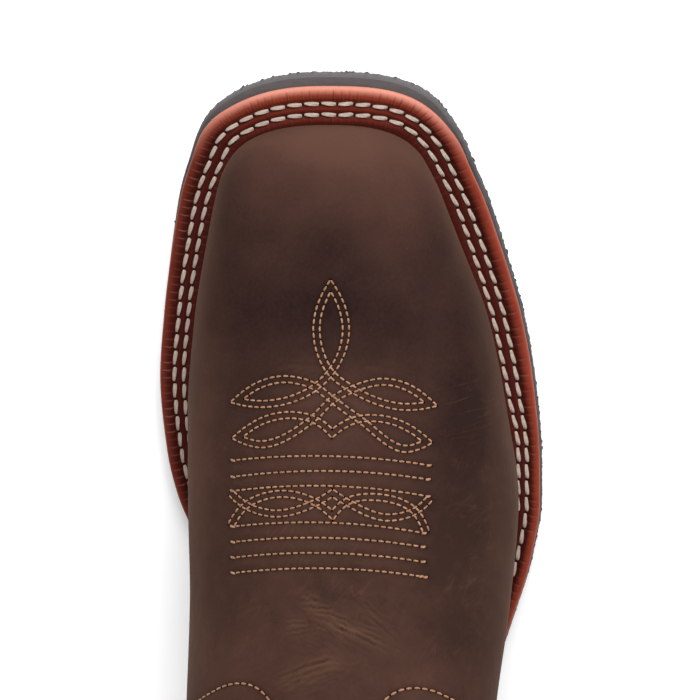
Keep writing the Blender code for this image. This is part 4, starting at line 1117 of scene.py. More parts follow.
def add_holes(name, places, up, radius, slot):
    """Low dark cones of painted shade, one at each needle hole."""
    sides = HOLE_SIZE["sides"]
    along = unit(np.cross(up, np.array(ASKEW)))
    across = np.cross(up, along)
    angle = np.linspace(0, 2 * math.pi, sides, endpoint=False)
    ring = along[:, None] * np.cos(angle)[:, None] + across[:, None] * np.sin(angle)[:, None]
    ring = places[:, None] + (ring * radius - up[:, None] * HOLE_SIZE["sunk"]) * MM
    tip = places + up * HOLE_SIZE["tip"] * MM
    points = np.concatenate([ring, tip[:, None]], axis=1)
    index = np.arange(points.shape[0] * (sides + 1)).reshape(-1, sides + 1)
    turned = np.roll(index[:, :-1], -1, axis=1)
    fans = np.stack([index[:, :-1], turned, np.broadcast_to(index[:, -1:], turned.shape)], axis=-1)
    faces = [fans.reshape(-1, 3), index[:, -2::-1]]
    add_piece(make_mesh(name, points.reshape(-1, 3), faces), HOLE, slot)


def beside(points, out, distance, tree):
    """A row on a surface, this far to the left of a line on it, without the places that come too near."""
    line = resampled(points, ROW_STEP)
    up = unit(read_along(lengths(points), out, lengths(line)))
    side = unit(np.cross(up, np.gradient(line, axis=0)))
    row = snapped(line + side * distance * MM, tree)[0]
    clear = nearest_distance(row, line) > abs(distance) * ROW_CLEAR
    return snapped(resampled(row[clear], SNAP_STEP), tree)


# Places seen in the photograph


def camera_axes():
    """Right, up and back of the camera."""
    back = np.array([math.sin(CAMERA_SWING), math.sin(CAMERA_TILT),
                     math.cos(CAMERA_TILT) * math.cos(CAMERA_SWING)])
    back /= np.linalg.norm(back)
    up = np.array([0.0, 1.0, 0.0]) - back[1] * back
    up /= np.linalg.norm(up)
    return np.cross(up, back), up, back


CAMERA_RIGHT, CAMERA_UP, CAMERA_BACK = camera_axes()
CAMERA_PLACE = placed(CAMERA_TARGET["x"], CAMERA_TARGET["from_toe"], CAMERA_TARGET["height"])
CAMERA_PLACE = CAMERA_PLACE + CAMERA_BACK * CAMERA_DISTANCE * MM


def seen(pixels, tree):
    """The places on a surface that show at pixels of the photograph."""
    places = []
    for x, y in pixels:
        aside = (x - PHOTO_SIZE / 2) * CAMERA_RIGHT - (y - PHOTO_SIZE / 2) * CAMERA_UP
        places.append(tree.ray_cast(CAMERA_PLACE, aside / PHOTO_FOCAL - CAMERA_BACK)[0])
    return np.array(places)


def smooth_line(points, steps=STEPS["line"]):
    """A curve through points, each stretch bent by its neighbours, and the end stretches like arcs."""
    points = np.asarray(points, float)
    reach = np.linalg.norm(np.diff(points, axis=0), axis=1)[:, None]
    slope = np.diff(points, axis=0) / reach
    between = (slope[:-1] * reach[1:] + slope[1:] * reach[:-1]) / (reach[1:] + reach[:-1])
    tangent = np.vstack([2 * slope[:1] - between[:1], between, 2 * slope[-1:] - between[-1:]])
    share = np.linspace(0, 1, steps, endpoint=False)[:, None]
    parts = []
    for i in range(len(reach)):
        parts.append(eased(points[i], points[i + 1], tangent[i], tangent[i + 1], share, reach[i]))
    return np.vstack(parts + [points[-1:]])


def moved_aside(line, distance):
    """A flat line moved to one side, by one distance or by one for each of its points."""
    along = unit(np.gradient(line, axis=0))
    return line + np.column_stack([along[:, 1], -along[:, 0]]) * np.reshape(distance, (-1, 1))


def crossing(first, second):
    """Where two straight pieces, run on without end, cross, as shares of each."""
    way, other = first[1] - first[0], second[1] - second[0]
    turn = way[0] * other[1] - way[1] * other[0]
    gap = second[0] - first[0]
    if abs(turn) < TINY:
        return np.inf, np.inf
    return (gap[0] * other[1] - gap[1] * other[0]) / turn, (gap[0] * way[1] - gap[1] * way[0]) / turn


def meet(first, second):
    """Two lines cut where they cross near the corner between them, or run on until they meet."""
    last = len(first) - 1
    near_first = [i for i in range(last) if np.linalg.norm(first[i] - first[last]) < CORNER_REACH]
    near_second = [j for j in range(len(second) - 1) if np.linalg.norm(second[j] - second[0]) < CORNER_REACH]
    for i in near_first[::-1]:
        for j in near_second:
            s, t = crossing(first[i:i + 2], second[j:j + 2])
            if 0 <= s <= 1 and 0 <= t <= 1:
                corner = first[i] + (first[i + 1] - first[i]) * s
                return np.vstack([first[:i + 1], corner]), np.vstack([corner, second[j + 1:]])
    s = crossing(first[-2:], second[:2])[0]
    corner = first[-2] + (first[-1] - first[-2]) * s
    return np.vstack([first, corner]), np.vstack([corner, second])


def tacks():
    """Short thick back stitches at both ends of the cross lines, one of them longer."""
    ends = []
    for number, line in enumerate(LINES):
        curve = smooth_line(line)
        for end in (0, -1):
            long_one = number == LONG_TACK["line"] and end == LONG_TACK["end"]
            reach = LONG_TACK["length"] if long_one else TACK_LENGTH
            way = curve if end == 0 else curve[::-1]
            ends.append(spread(way, np.linspace(0, reach, STEPS["tack"])))
    return ends


def double_row(strand):
    """Both rows of a strand, as flat lines from corner to corner in the photograph's pixels."""
    breaks = [i for i, name in enumerate(strand) if name in CORNERS and 0 < i < len(strand) - 1]
    edges = [0] + breaks + [len(strand) - 1]
    runs = [smooth_line([PLACES[n] for n in strand[a:b + 1]]) for a, b in zip(edges, edges[1:])]
    closed = strand[0] == strand[-1]
    lines = []
    for side in (-0.5, 0.5):
        row = [moved_aside(run, side * ROW_SPACING) for run in runs]
        for i in range(len(row) if closed else len(row) - 1):
            k = (i + 1) % len(row)
            row[i], row[k] = meet(row[i], row[k])
        lines += row
    return lines


# Leather


def crease_lines():
    """Every crease as (flat line, depth, half width): the listed ones and fine ones by chance."""
    made = []
    for at in named(CREASE_COLUMNS, CREASES):
        line = smooth_line([at["start"], at["middle"], at["end"]], STEPS["crease"])
        wander = random.normal(0, CREASE_WANDER, len(line) + len(WANDER_OVER) - 1)
        wander = np.convolve(wander, WANDER_OVER, "valid")
        made.append((moved_aside(line, wander), at["depth"], at["half_width"]))
        depth = FINE_WRINKLE["depth"] * (at["depth"] / CREASE_FULL_DEPTH)
        steps = np.linspace(0, 1, STEPS["fine_wrinkle"])
        for _ in range(FINE_WRINKLES):
            length = FINE_WRINKLE["length"] * random.uniform(*FINE_WRINKLE["spread"])
            start = random.uniform(0, 1) * max(lengths(line)[-1] - length, 0)
            aside = random.normal(0, FINE_WRINKLE["aside"])
            aside = aside + (steps - 0.5) * random.normal(0, FINE_WRINKLE["turn"])
            part = moved_aside(spread(line, start + steps * length), aside)
            made.append((part, depth, FINE_WRINKLE["half_width"]))
    return made


def crease_relief(points):
    """Rise in millimetres of the creases at places of the vamp, and how pale their ridges are painted, as
    wear and painted highlight.
    """
    plan = plan_of(points)
    relief = np.zeros(plan.shape[:-1])
    wear = np.zeros(plan.shape[:-1])
    for line, depth, half_width in crease_lines():
        reach = half_width * CREASE_SHAPE["reach"]
        low, high = line.min(axis=0) - reach, line.max(axis=0) + reach
        near = ((plan > low) & (plan < high)).all(axis=-1)
        apart = np.linalg.norm(plan[near][:, None] - line, axis=-1)
        distance = apart.min(axis=-1) / half_width
        fade = np.sin(math.pi * (apart.argmin(axis=-1) + 0.5) / len(line)) ** CREASE_SHAPE["fade"]
        ridge = np.exp(-(distance - CREASE_SHAPE["ridge_at"]) ** 2)
        relief[near] += depth * fade * (CREASE_SHAPE["ridge"] * ridge - np.exp(-distance ** 2))
        # pale paint on the ridges: partly wear, partly painted highlight
        wear[near] += depth * fade * CREASE_WEAR * ridge
    return relief, wear


def zoned(points, table):
    """The amounts of all soft zones of a table at places of the vamp."""
    plan = plan_of(points)
    total = np.zeros(points.shape[:-1])
    for at in named(ZONE_COLUMNS, table):
        x = (plan[..., 0] - at["x"]) / at["half_wide"]
        y = (plan[..., 1] - at["from_toe"]) / at["half_long"]
        total += at["amount"] * np.exp(-x ** 2 - y ** 2)
    return total


def vamp_grid():
    """Rows and places round for the vamp's mesh, closer together where the toe stitching is."""
    side = np.concatenate([
        np.linspace(0, VAMP_ROUNDS["fine_from"], VAMP_ROUNDS["side"], endpoint=False),
        np.linspace(VAMP_ROUNDS["fine_from"], 0.5, VAMP_ROUNDS["middle"]),
    ])
    around = np.concatenate([side, 1 - side[-2::-1]])
    rows = np.concatenate([
        np.linspace(VAMP_START, VAMP_ROWS["fine_from"], VAMP_ROWS["toe"], endpoint=False),
        np.linspace(VAMP_ROWS["fine_from"], CREASED_ROW, VAMP_ROWS["middle"], endpoint=False),
        np.linspace(CREASED_ROW, VAMP_SPLIT_ROW, VAMP_ROWS["creased"]),
    ])
    edge = vamp_edge_row(np.minimum(around, 1 - around))
    fan = np.linspace(0, 1, VAMP_ROWS["fan"])[1:, None] ** FAN_CLOSENESS
    rows = np.vstack([np.broadcast_to(rows[:, None], (len(rows), len(around))),
                      VAMP_SPLIT_ROW + (edge - VAMP_SPLIT_ROW) * fan])
    lowest = np.array([lowest_round(row) for row in rows[:, 0]])[:, None]
    up = np.minimum(around, 1 - around)
    up = np.where(up < FOOT_ROUND, lowest + up * (1 - lowest / FOOT_ROUND), up)
    return rows, np.where(around < 0.5, up, 1 - up)


def vamp():
    """Leather over the forefoot with its tongue, creases and toe stitching."""
    rows, around = vamp_grid()
    kept = soft_edge(on_upper(rows, around, GAP))
    inner = on_upper(rows, around, GAP * kept ** 2)
    relief, wear = crease_relief(inner)
    thickness = OVERLAY_THICKNESS * kept + relief
    outer = on_upper(rows, around, GAP + thickness)
    tree = surface_tree(outer)
    flat_lines = [line for strand in STRANDS for line in double_row(strand)]
    flat_lines += [smooth_line(line) for line in LINES]
    stitched, tacked = [
        [snapped(resampled(seen(line, tree), PHOTO_STEP), tree) for line in lines]
        for lines in (flat_lines, tacks())
    ]
    edge = np.linspace(around[-1, 0], around[-1, -1], STEPS["edge"])
    edge_row = vamp_edge_row(np.minimum(edge, 1 - edge))
    edge_line = on_upper(edge_row, edge, GAP + OVERLAY_THICKNESS)
    edge_out = out_of_upper(edge_row, edge)
    seams = [beside(edge_line, edge_out, distance, tree) for distance in EDGE_ROWS]
    apart = nearest_distance(outer, np.concatenate([row[0] for row in stitched + seams]))
    pull = np.exp(-(apart / STITCH_PULL_WIDTH) ** 2)
    outer = on_upper(rows, around, GAP + thickness - STITCH_PULL * pull)
    # painted shade on the leather around the stitches and in the crease troughs
    recess = STITCH_DARK * pull + np.clip(-relief * CREASE_DARK, 0, MOST_RECESS)
    mesh = shell("vamp_leather", outer, inner, coarse=VAMP_COARSE, wear=np.clip(wear, 0, MOST_WEAR),
                 recess=recess, **{name: zoned(outer, table) for name, table in ZONES.items()})
    add_piece(mesh, LEATHER, "brown_leather", "vamp")
    add_stitches("toe_stitches", stitched, DECOR_STITCH)
    add_stitches("toe_tacks", tacked, TACK_STITCH)
    add_stitches("vamp_seam", seams)


def upper():
    """Outer leather and inner lining of foot and shaft."""
    rows = np.linspace(0, LAST_ROW, STEPS["upper_rows"])
    around = np.linspace(0, 1, STEPS["upper_round"])
    joined = int(np.searchsorted(rows, HEEL_CORNER))
    half = WALL / 2
    for name, out, look, slot, nodes in (
        ("upper_leather", (0.0, -half), LEATHER, "brown_leather", ("upper",)),
        ("upper_lining", (-half - LINING_GAP, -WALL), LINING, "tan_lining", ()),
    ):
        skins = [on_upper(rows[:, None], around[None, :], o) for o in out]
        add_piece(shell(name, *skins, joined_from=joined), look, slot, *nodes)


def counter_reach(row):
    """How far round from its foot a section reaches the counter's top edge, on each side."""
    places = np.linspace(0, COUNTER_SEARCH, STEPS["reach_search"])
    reach = []
    for around in (places, 1 - places):
        point = on_upper(row, around)
        above = point[:, 2] / MM - counter_top(from_toe_of(point))
        reach.append(places[np.argmax(above >= 0)])
    return reach


def counter_last_row():
    """The row at which the back seam reaches the counter's top edge."""
    rows = np.linspace(HEEL_CORNER, LAST_ROW, STEPS["row_search"])
    point = on_upper(rows, 0.0)
    return rows[np.argmax(point[:, 2] / MM >= counter_top(from_toe_of(point)))]


def heel_counter():
    """Leather round the heel, from side to side, rising at the back, with two rows of stitches."""
    half = np.linspace(0, 1, STEPS["counter_rows"])
    foot_rows = COUNTER_FRONT + (HEEL_CORNER - COUNTER_FRONT) * half
    top_rows = COUNTER_FRONT + (counter_last_row() - COUNTER_FRONT) * half
    foot = np.array([lowest_round(row) for row in foot_rows])
    reach = np.array([counter_reach(row) for row in top_rows])
    share = np.linspace(0, 1, STEPS["counter_round"])
    rows = foot_rows[:, None] + (top_rows - foot_rows)[:, None] * share
    inner_round = foot[:, None] + (reach[:, :1] - foot[:, None]) * share
    outer_round = 1 - foot[:, None] - (reach[:, 1:] - foot[:, None]) * share
    rows = np.vstack([rows, rows[-2::-1]])
    around = np.vstack([inner_round, outer_round[-2::-1]])
    kept = soft_edge(on_upper(rows, around, COUNTER_GAP))
    base = on_upper(rows, around, COUNTER_GAP * kept ** 2)
    skin = on_upper(rows, around, COUNTER_GAP + OVERLAY_THICKNESS * kept)
    tree = surface_tree(skin)
    out = out_of_upper(rows[:, -1], around[:, -1])
    seams = [beside(skin[:, -1], out, -distance, tree) for distance in EDGE_ROWS]
    add_piece(shell("counter_leather", skin, base), LEATHER, "brown_leather", "heel_counter")
    add_stitches("counter_seam", seams)


def collar_frame(around):
    """At the collar: point on the outer surface, way out and way up, all in metres."""
    rim = on_upper(LAST_ROW, around)
    out = on_upper(LAST_ROW, around, 1 / MM) - rim
    up = unit(rim - on_upper(row_below_collar(around, BINDING_DROP), around))
    return rim, out, up


def collar_length():
    return lengths(FINE[-1])[-1]


def collar_binding():
    """Strip folded over the top edge, with one row of stitches."""
    around = np.linspace(0, 1, STEPS["binding_round"])[:-1]
    rim, out, up = collar_frame(around)
    near, far = GAP, GAP + BINDING_THICKNESS
    middle, half = -WALL / 2, WALL / 2 + far
    profile = [(far, -BINDING_DROP), (far, -BINDING_DROP / 2)]
    for turn in np.linspace(0, math.pi, STEPS["binding_bend"]):
        rise = near + (far - near) * math.sqrt(math.sin(turn))
        profile.append((middle + half * math.cos(turn), rise))
    profile += [(-WALL - far, -BINDING_DROP / 2), (-WALL - far, -BINDING_DROP), (-WALL - near, -BINDING_DROP)]
    profile += [(-WALL - near, near / 2), (near, near / 2), (near, -BINDING_DROP)]
    rings = np.array([rim + (out * a + up * b) * MM for a, b in profile])
    mesh = tube("binding_leather", rings, caps=False)
    add_piece(mesh, LEATHER, "brown_leather", "collar_binding")
    line = rim + (out * far - up * (BINDING_DROP - BINDING_ROW)) * MM
    closed = np.vstack([line, line[:1]])
    add_stitches("binding_seam", [(closed, np.vstack([out, out[:1]]))])


def grid_out(points):
    """Outward directions of a grid of points."""
    return unit(np.cross(np.gradient(points, axis=1), np.gradient(points, axis=0)))


def pull_strap(place, side):
    """Loop of leather over the collar, sewn down outside and inside, with a box of stitches."""
    half = STRAP_WIDTH / 2 / collar_length()
    around = side + half * np.linspace(-1, 1, STEPS["strap_across"])
    rim, out, up = collar_frame(around)
    drops = np.linspace(STRAP_LEG["below"][-1], STRAP_LEG["below"][0], STEPS["strap_leg"])
    off = [float(strap_off(drop)) for drop in drops]
    rows = [row_below_collar(around, drop) for drop in drops]
    lines = [on_upper(row, around, o) for row, o in zip(rows, off)]
    for turn in np.linspace(0, math.pi, STEPS["strap_loop"]):
        across = -WALL / 2 + STRAP_LOOP_HALF * math.cos(turn)
        lines.append(rim + (out * across + up * STRAP_LOOP_RISE * math.sin(turn)) * MM)
    lines += [on_upper(row, around, -WALL - o) for row, o in zip(rows[:0:-1], off[:0:-1])]
    base = np.array(lines)
    skin = base - grid_out(base) * (STRAP_THICKNESS * soft_edge(base))[..., None] * MM
    mesh = shell("strap_leather_" + place, skin, base)
    add_piece(mesh, LEATHER, "brown_leather", "pull_strap_" + place)
    inset = round(STRAP_ROW / STRAP_WIDTH * (STEPS["strap_across"] - 1))
    first, last = STRAP_BOX
    box = np.concatenate([skin[last:first:-1, inset], skin[first, inset:-1 - inset],
                          skin[first:last, -1 - inset]])
    tree = surface_tree(skin)
    row = snapped(resampled(box, SNAP_STEP), tree)
    outward = row[1] * np.sign((row[1] * out.mean(axis=0)).sum(axis=1))[:, None]
    add_stitches("strap_seam_" + place, [(row[0], outward)])


def seam_round(row, side):
    """How far round a section the straight side seam lies."""
    places = side + np.linspace(-SEAM_SEARCH, SEAM_SEARCH, STEPS["seam_search"])
    point = on_upper(row, places)
    off = np.abs(from_toe_of(point) - side_seam_place(point[:, 2] / MM))
    return places[np.argmin(off)]


def side_seam(place, side):
    """Raised piping up the shaft, with a row of stitches along each side of it."""
    last = row_below_collar(np.array([side]), STRAP_LEG["below"][-1] + SEAM_END_GAP)[0]
    rows = np.linspace(SEAM_START, last, STEPS["seam_rows"])
    few = rows[::STEPS["seam_skip"]]
    middle = smooth_curve(few, [seam_round(row, side) for row in few])(rows)
    half = PIPING_WIDTH / 2 / collar_length()
    turn = np.linspace(math.pi, 0, STEPS["piping"])
    lines = [on_upper(rows, middle + half * math.cos(t), GAP + PIPING_HEIGHT * math.sin(t)) for t in turn]
    rings = np.swapaxes(np.array(lines), 0, 1)
    add_piece(tube("piping_" + place, rings), LEATHER, "brown_leather", "side_seam_" + place)
    sides = [middle + way * SEAM_ROW / collar_length() for way in (-1, 1)]
    add_stitches("side_stitches_" + place, [(on_upper(rows, s), out_of_upper(rows, s)) for s in sides])


# Sole, welt and heel


def side_amount(ring, amounts):
    """An amount for each side of the sole between toe and heel, which fades out towards both."""
    fade = np.clip((ring[:, 1] - SIDE_START) / SIDE_RAMP, 0, 1)
    fade = fade * np.clip((HEEL_BREAST - ring[:, 1]) / SIDE_RAMP, 0, 1)
    return np.where(ring[:, 0] < 0, amounts["inner"], amounts["outer"]) * fade


def outsole():
    """Rubber sole with a ragged trimmed edge and a grooved tread."""
    count = STEPS["outsole_ring"]
    ring = sole_ring(count)
    way = inward(ring)
    step = lengths(ring)[-1] / count
    rough = random.normal(0, 1, count)
    rough = (rough + np.roll(rough, 1)) * RAGGED
    crumbs = np.zeros(count)
    for at in named(CRUMB_COLUMNS, CRUMBS):
        inside = (ring[:, 1] >= at["start"]) & (ring[:, 1] < at["end"])
        if at["side"] != "both":
            inside &= (ring[:, 0] > 0) == (at["side"] == "outer")
        inside = np.flatnonzero(inside)
        picked = random.choice(inside, int(len(inside) * step / at["spacing"]), replace=False)
        crumbs[picked] = random.uniform(*CRUMB_SPREAD, len(picked)) * at["height"]
    crumbs = np.maximum(crumbs, np.roll(crumbs, 1) * random.uniform(*CRUMB_TRAIL, count))
    rings = []
    crumb_paint = []
    for at in named(OUTSOLE_PROFILE_COLUMNS, OUTSOLE_PROFILE):
        jag = np.maximum(rough, -DEEPEST_NICK) * at["ragged"] + crumbs * (at["ragged"] ** 2)
        edge = ring + way * (at["inset"] - jag + side_amount(ring, SIDE_TRIM))[:, None]
        height = sole_bottom(ring[:, 1]) + sole_thickness(ring[:, 1]) * at["share"]
        rings.append(placed(*edge.T, height))
        crumb_paint.append(np.clip(crumbs * CRUMB_DARK, 0, 1) * min(1, 2 * at["ragged"]))
    # the rubber is painted lighter towards the toe
    toe = np.clip(1 - (ring[:, 1] - BUFFED["start"]) / TOE_ROUND_LENGTH, 0, 1) * BUFFED["amount"]
    points, faces = treaded(np.array(rings))
    unpainted = np.zeros(len(points) - np.size(crumb_paint))
    mesh = make_mesh("outsole_rubber", points, [group[:, ::-1] for group in faces],
                     crumb=np.append(crumb_paint, unpainted),
                     buffed=np.append(np.tile(toe, len(OUTSOLE_PROFILE)), unpainted))
    add_piece(mesh, RUBBER, "charcoal_rubber", "outsole")


def treaded(rings):
    """Points and faces of the sole: its side from ring to ring, its top, and a tread with cross grooves."""
    count, around = rings.shape[:2]
    index = np.arange(count * around).reshape(count, around)
    half = around // 2
    left, right = index[0, 1:half], index[0, :half:-1]
    share = np.linspace(0, 1, STEPS["tread"] + 1)[1:-1]
    flat = rings.reshape(-1, 3)
    middle = flat[left][:, None] * (1 - share[:, None]) + flat[right][:, None] * share[:, None]
    from_toe = from_toe_of(middle)
    wide = np.linalg.norm(flat[left] - flat[right], axis=1)[:, None] / MM
    margin = np.clip((np.minimum(share, 1 - share) * wide - TREAD["margin"]) / TREAD["ramp"] + 0.5, 0, 1)
    ends = np.clip((from_toe - TREAD["start"]) / TREAD["ramp"], 0, 1)
    ends = ends * np.clip((TREAD["end"] - from_toe) / TREAD["ramp"], 0, 1)
    groove = np.clip(np.cos(2 * math.pi * from_toe / TREAD["pitch"]) * TREAD["steep"] - 1, 0, 1)
    middle[..., 2] += TREAD["depth"] * groove * margin * ends * MM
    grid = count * around + np.arange(middle.shape[0] * middle.shape[1]).reshape(middle.shape[:2])
    bottom = np.column_stack([left, grid, right])
    top = np.column_stack([index[-1, 1:half], index[-1, :half:-1]])
    faces = [sheet_faces(index, closed_round=True), sheet_faces(bottom), sheet_faces(top)[:, ::-1]]
    first, last = bottom[0], bottom[-1]
    faces.append(np.concatenate([[index[0, 0]], first])[None, :])
    faces.append(np.concatenate([[index[0, half]], last[::-1]])[None, :])
    faces.append(np.array([[index[-1, 0], top[0, 1], top[0, 0]], [index[-1, half], top[-1, 0], top[-1, 1]]]))
    return np.concatenate([flat, middle.reshape(-1, 3)]), faces


def welt_edge(ring):
    """How far in from the sole's edge the welt's edge lies."""
    return welt_inset(ring[:, 1]) + side_amount(ring, WELT_ASIDE)


def welt_fit(ring, reach):
    """How much narrower than its table the welt is."""
    share = np.where(ring[:, 0] < 0, welt_share["inner"](ring[:, 1]), welt_share["outer"](ring[:, 1]))
    return np.minimum(share, reach / WELT_FULL_REACH)


def welt_line(inset, rise, ring, way):
    """The ring of the welt at an inset from its edge."""
    line = ring + way * (welt_edge(ring) + inset)[:, None]
    return placed(*line.T, sole_top(line[:, 1]) + GAP + rise)


def feather_loop(inset):
    """The upper's lower edge as a ring of (x, from_toe) from the heel's back, this far in from it."""
    rows = np.linspace(HEEL_CORNER, 0, STEPS["feather_side"])
    rounds = np.linspace(0, 1, STEPS["feather_toe"])[1:-1]
    row = np.concatenate([rows, np.zeros(len(rounds)), rows[:0:-1]])
    around = np.concatenate([np.ones(len(rows)), rounds[::-1], np.zeros(len(rows) - 1)])
    ring = plan_of(on_upper(row, around))
    return ring + inward(ring) * inset


def reach_to(ring, way, loop):
    """How far it is from each point of a ring, along its way in, to a loop inside the ring."""
    start, end = loop, np.roll(loop, -1, axis=0)
    side = end - start
    gap = start[None] - ring[:, None]
    turn = way[:, None, 0] * side[None, :, 1] - way[:, None, 1] * side[None, :, 0]
    turn = np.where(np.abs(turn) < TINY, TINY, turn)
    far = (gap[..., 0] * side[None, :, 1] - gap[..., 1] * side[None, :, 0]) / turn
    along = (gap[..., 0] * way[:, None, 1] - gap[..., 1] * way[:, None, 0]) / turn
    met = (along >= -END_SLACK) & (along <= 1 + END_SLACK) & (far > 0)
    return np.where(met, far, np.inf).min(axis=1)


def welt():
    """Strip round the sole's edge: raised notched rim, two sunk rows of stitches, notched inner strip, with a
    painted highlight on the rim and painted shade towards the stitches and on the side away from the light.
    """
    samples = STEPS["notch"]
    length = lengths(sole_ring(STEPS["welt_ring"]))[-1]
    count = round(length / NOTCH_PITCH) * samples
    ring = sole_ring(count)
    way = inward(ring)
    reach = reach_to(ring, way, feather_loop(WELT_UNDER_WALL)) - welt_edge(ring)
    fit = welt_fit(ring, reach)
    notch = np.zeros(count)
    notch[::samples] = random.uniform(*NOTCH_SPREAD, count // samples)
    inner_notch = np.roll(notch, NOTCH_OFFSET) * INNER_STRIP_NOTCH
    toe = np.clip(1 - (ring[:, 1] - TOE_START) / TOE_ROUND_LENGTH, 0, 1)
    # painted light at the toe and on the outer side, painted shade on the inner side, away from the light
    lit = np.maximum(toe, np.where(ring[:, 0] > 0, OUTER_LIT, 0.0))
    steeper = np.where(ring[:, 0] > 0, OUTER_STEEPER, 0.0) * (1 - toe)
    marked, cracked = [
        np.where(ring[:, 0] > 0, amounts["outer"], amounts["inner"]) * (1 - toe) + amounts["toe"] * toe
        for amounts in (NOTCH_PAINT, NOTCH_SHADE)
    ]
    rings, notches, shades, brights = [], [], [], []
    for at in named(WELT_PROFILE_COLUMNS, WELT_PROFILE):
        marks = (notch if at["inset"] < WELT_STITCH_INSETS[0] else inner_notch) * at["notch"]
        rings.append(welt_line(at["inset"] * fit, at["rise"] - NOTCH_DEPTH * marks, ring, way))
        notches.append(marks * marked)
        lost = TOE_LIT if at["inset"] < WELT_STITCH_INSETS[0] else 0.0
        shade = at["shade"] * (1 - lost * toe + steeper) + SIDE_SHADE * (1 - lit)
        shades.append(np.clip(shade + cracked * np.roll(marks, 1), 0, 1))
        # painted highlights: on the rim at the toe, and along the outer edge elsewhere
        pale = PALE_EDGE["amount"] * max(0, 1 - at["inset"] / PALE_EDGE["wide"])
        pale = pale if at["rise"] > PALE_EDGE["above"] else 0.0
        rim = np.clip(WELT_RIM["start"] - at["inset"] / WELT_RIM["wide"], 0.0, WELT_RIM["most"])
        rim = rim * (1 - np.roll(marks, 1))
        brights.append(toe * rim + (1 - toe) * pale)
    for rise in (WELT_THICKNESS, 0.0):
        rings.append(welt_line(reach, rise, ring, way))
        notches.append(np.zeros(count))
        shades.append(np.ones(count))
        brights.append(np.zeros(count))
    mesh = tube("welt_strip", np.array(rings[::-1]), caps=False, notch=np.array(notches[::-1]),
                shade=np.array(shades[::-1]), bright=np.array(brights[::-1]))
    add_piece(mesh, WELT, "welt_leather", "welt")
    front = ring[:, 1] < HEEL_BREAST
    order = np.roll(np.arange(count), -int(np.argmin(front)))
    kept = order[front[order]]
    rows = []
    for inset in WELT_STITCH_INSETS:
        line = welt_line(inset * fit, WELT_STITCH_RISE, ring, way)[kept]
        rows.append((line, np.tile([0.0, 0.0, 1.0], (len(kept), 1))))
    add_stitches("welt_stitches", rows, WELT_STITCH, CREAM_THREAD, "welt_leather")


def heel_ring(share, inset):
    """Ring of (x, from_toe) of the heel, narrower and further forward towards the floor."""
    turn = np.linspace(0, math.pi / 2, STEPS["heel"])
    stations = HEEL_BREAST + (SOLE_LENGTH - HEEL_BREAST) * np.sin(turn)
    middle = (outline_outer(stations) - outline_inner(stations)) / 2
    half = ((outline_outer(stations) + outline_inner(stations)) / 2 - HEEL_INSET) * end_rounding(stations)
    half = half * (1 - HEEL_TAPER * share)
    taken = (stations - HEEL_BREAST) * (1 - HEEL_TAPER * share)
    back = HEEL_BREAST + HEEL_LEAN * share + taken - HEEL_SETBACK
    inner = np.column_stack([middle - half, back])
    outer = np.column_stack([middle + half, back])
    ring = np.vstack([outer[::-1], inner[:-1]])
    return ring + inward(ring) * np.reshape(inset, (-1, 1))


def heel_stack():
    """Block of stacked layers, with a fine groove between one layer and the next."""
    seat = sole_bottom(heel_ring(0, 0)[:, 1]) - GAP
    foot = HEEL_CAP_HEIGHT + GAP
    rings, layers, grooves = [], [], []
    tints = random.uniform(0, 1, STACK_LAYERS)
    for layer in range(STACK_LAYERS):
        for at in named(LAYER_PROFILE_COLUMNS, LAYER_PROFILE):
            share = (layer + at["part"]) / STACK_LAYERS
            ring = heel_ring(share * STACK_SHARE, at["inset"])
            rings.append(placed(*ring.T, seat + (foot - seat) * share))
            layers.append(np.full(len(ring), tints[layer]))
            grooves.append(np.full(len(ring), 1.0 if at["inset"] else 0.0))
    keep = [i for i in range(len(rings)) if i % len(LAYER_PROFILE) or i == 0]
    mesh = tube("heel_layers", np.array(rings)[keep], layer=np.array(layers)[keep],
                recess=np.array(grooves)[keep])
    add_piece(mesh, STACK, "dark_stack", "heel_stack")


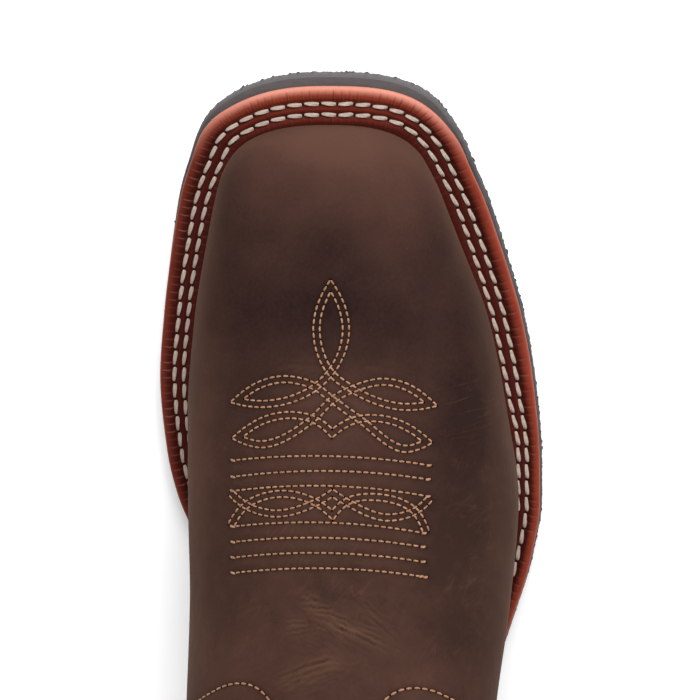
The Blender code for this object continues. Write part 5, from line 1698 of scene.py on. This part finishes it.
def heel_cap():
    """Rubber lift on the floor, its lower edge rounded."""
    rings = []
    for at in named(HEEL_CAP_COLUMNS, HEEL_CAP_PROFILE):
        ring = heel_ring(at["share"], at["inset"])
        rings.append(placed(*ring.T, at["height"]))
    add_piece(tube("cap_rubber", np.array(rings)), RUBBER, "charcoal_rubber", "heel_cap")


def insole():
    """The footbed keeps its solid and takes the lining's finish."""
    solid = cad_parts["insole"]
    solid.data.materials.clear()
    solid.data.materials.append(LINING)


# Floor, light and camera


def floor_and_light():
    bpy.ops.mesh.primitive_plane_add(size=FLOOR["size"], location=(0, 0, -FLOOR["below"]))
    floor = bpy.context.object
    floor.name = "floor"
    look = Look("pale_floor", Emission_Color=colour("white"), Emission_Strength=FLOOR["glow"])
    base = look.mix(look.noise(FLOOR["patch"]), colour("floor"), colour("floor_light"))
    floor.data.materials.append(look.finish(Base_Color=base, Roughness=FLOOR["rough"]))
    world = bpy.data.worlds.new("studio")
    bpy.context.scene.world = world
    world.use_nodes = True
    sky = world.node_tree.nodes["Background"]
    sky.inputs["Color"].default_value = colour("white")
    sky.inputs["Strength"].default_value = WORLD_LIGHT
    for at in named(LIGHT_COLUMNS, LIGHTS):
        lamp = bpy.data.lights.new(at["name"], "AREA")
        lamp.size = at["size"]
        lamp.energy = at["power"]
        made = bpy.data.objects.new(at["name"], lamp)
        made.location = at["place"]
        made.rotation_euler = (Vector(at["aim"]) - Vector(at["place"])).to_track_quat("-Z", "Y").to_euler()
        bpy.context.scene.collection.objects.link(made)


def camera():
    lens = bpy.data.cameras.new("photo_camera")
    lens.sensor_width = SENSOR_WIDTH
    lens.lens = PHOTO_FOCAL / PHOTO_SIZE * SENSOR_WIDTH
    lens.clip_end = CAMERA_FAR
    made = bpy.data.objects.new("photo_camera", lens)
    turn = Matrix((CAMERA_RIGHT, CAMERA_UP, CAMERA_BACK)).transposed()
    made.matrix_world = Matrix.Translation(CAMERA_PLACE) @ turn.to_4x4()
    bpy.context.scene.collection.objects.link(made)
    bpy.context.scene.camera = made


vamp()
upper()
heel_counter()
collar_binding()
for place, side in SIDES.items():
    pull_strap(place, side)
    side_seam(place, side)
outsole()
welt()
heel_stack()
heel_cap()
insole()
floor_and_light()
camera()
bpy.context.scene.view_settings.view_transform = "Standard"
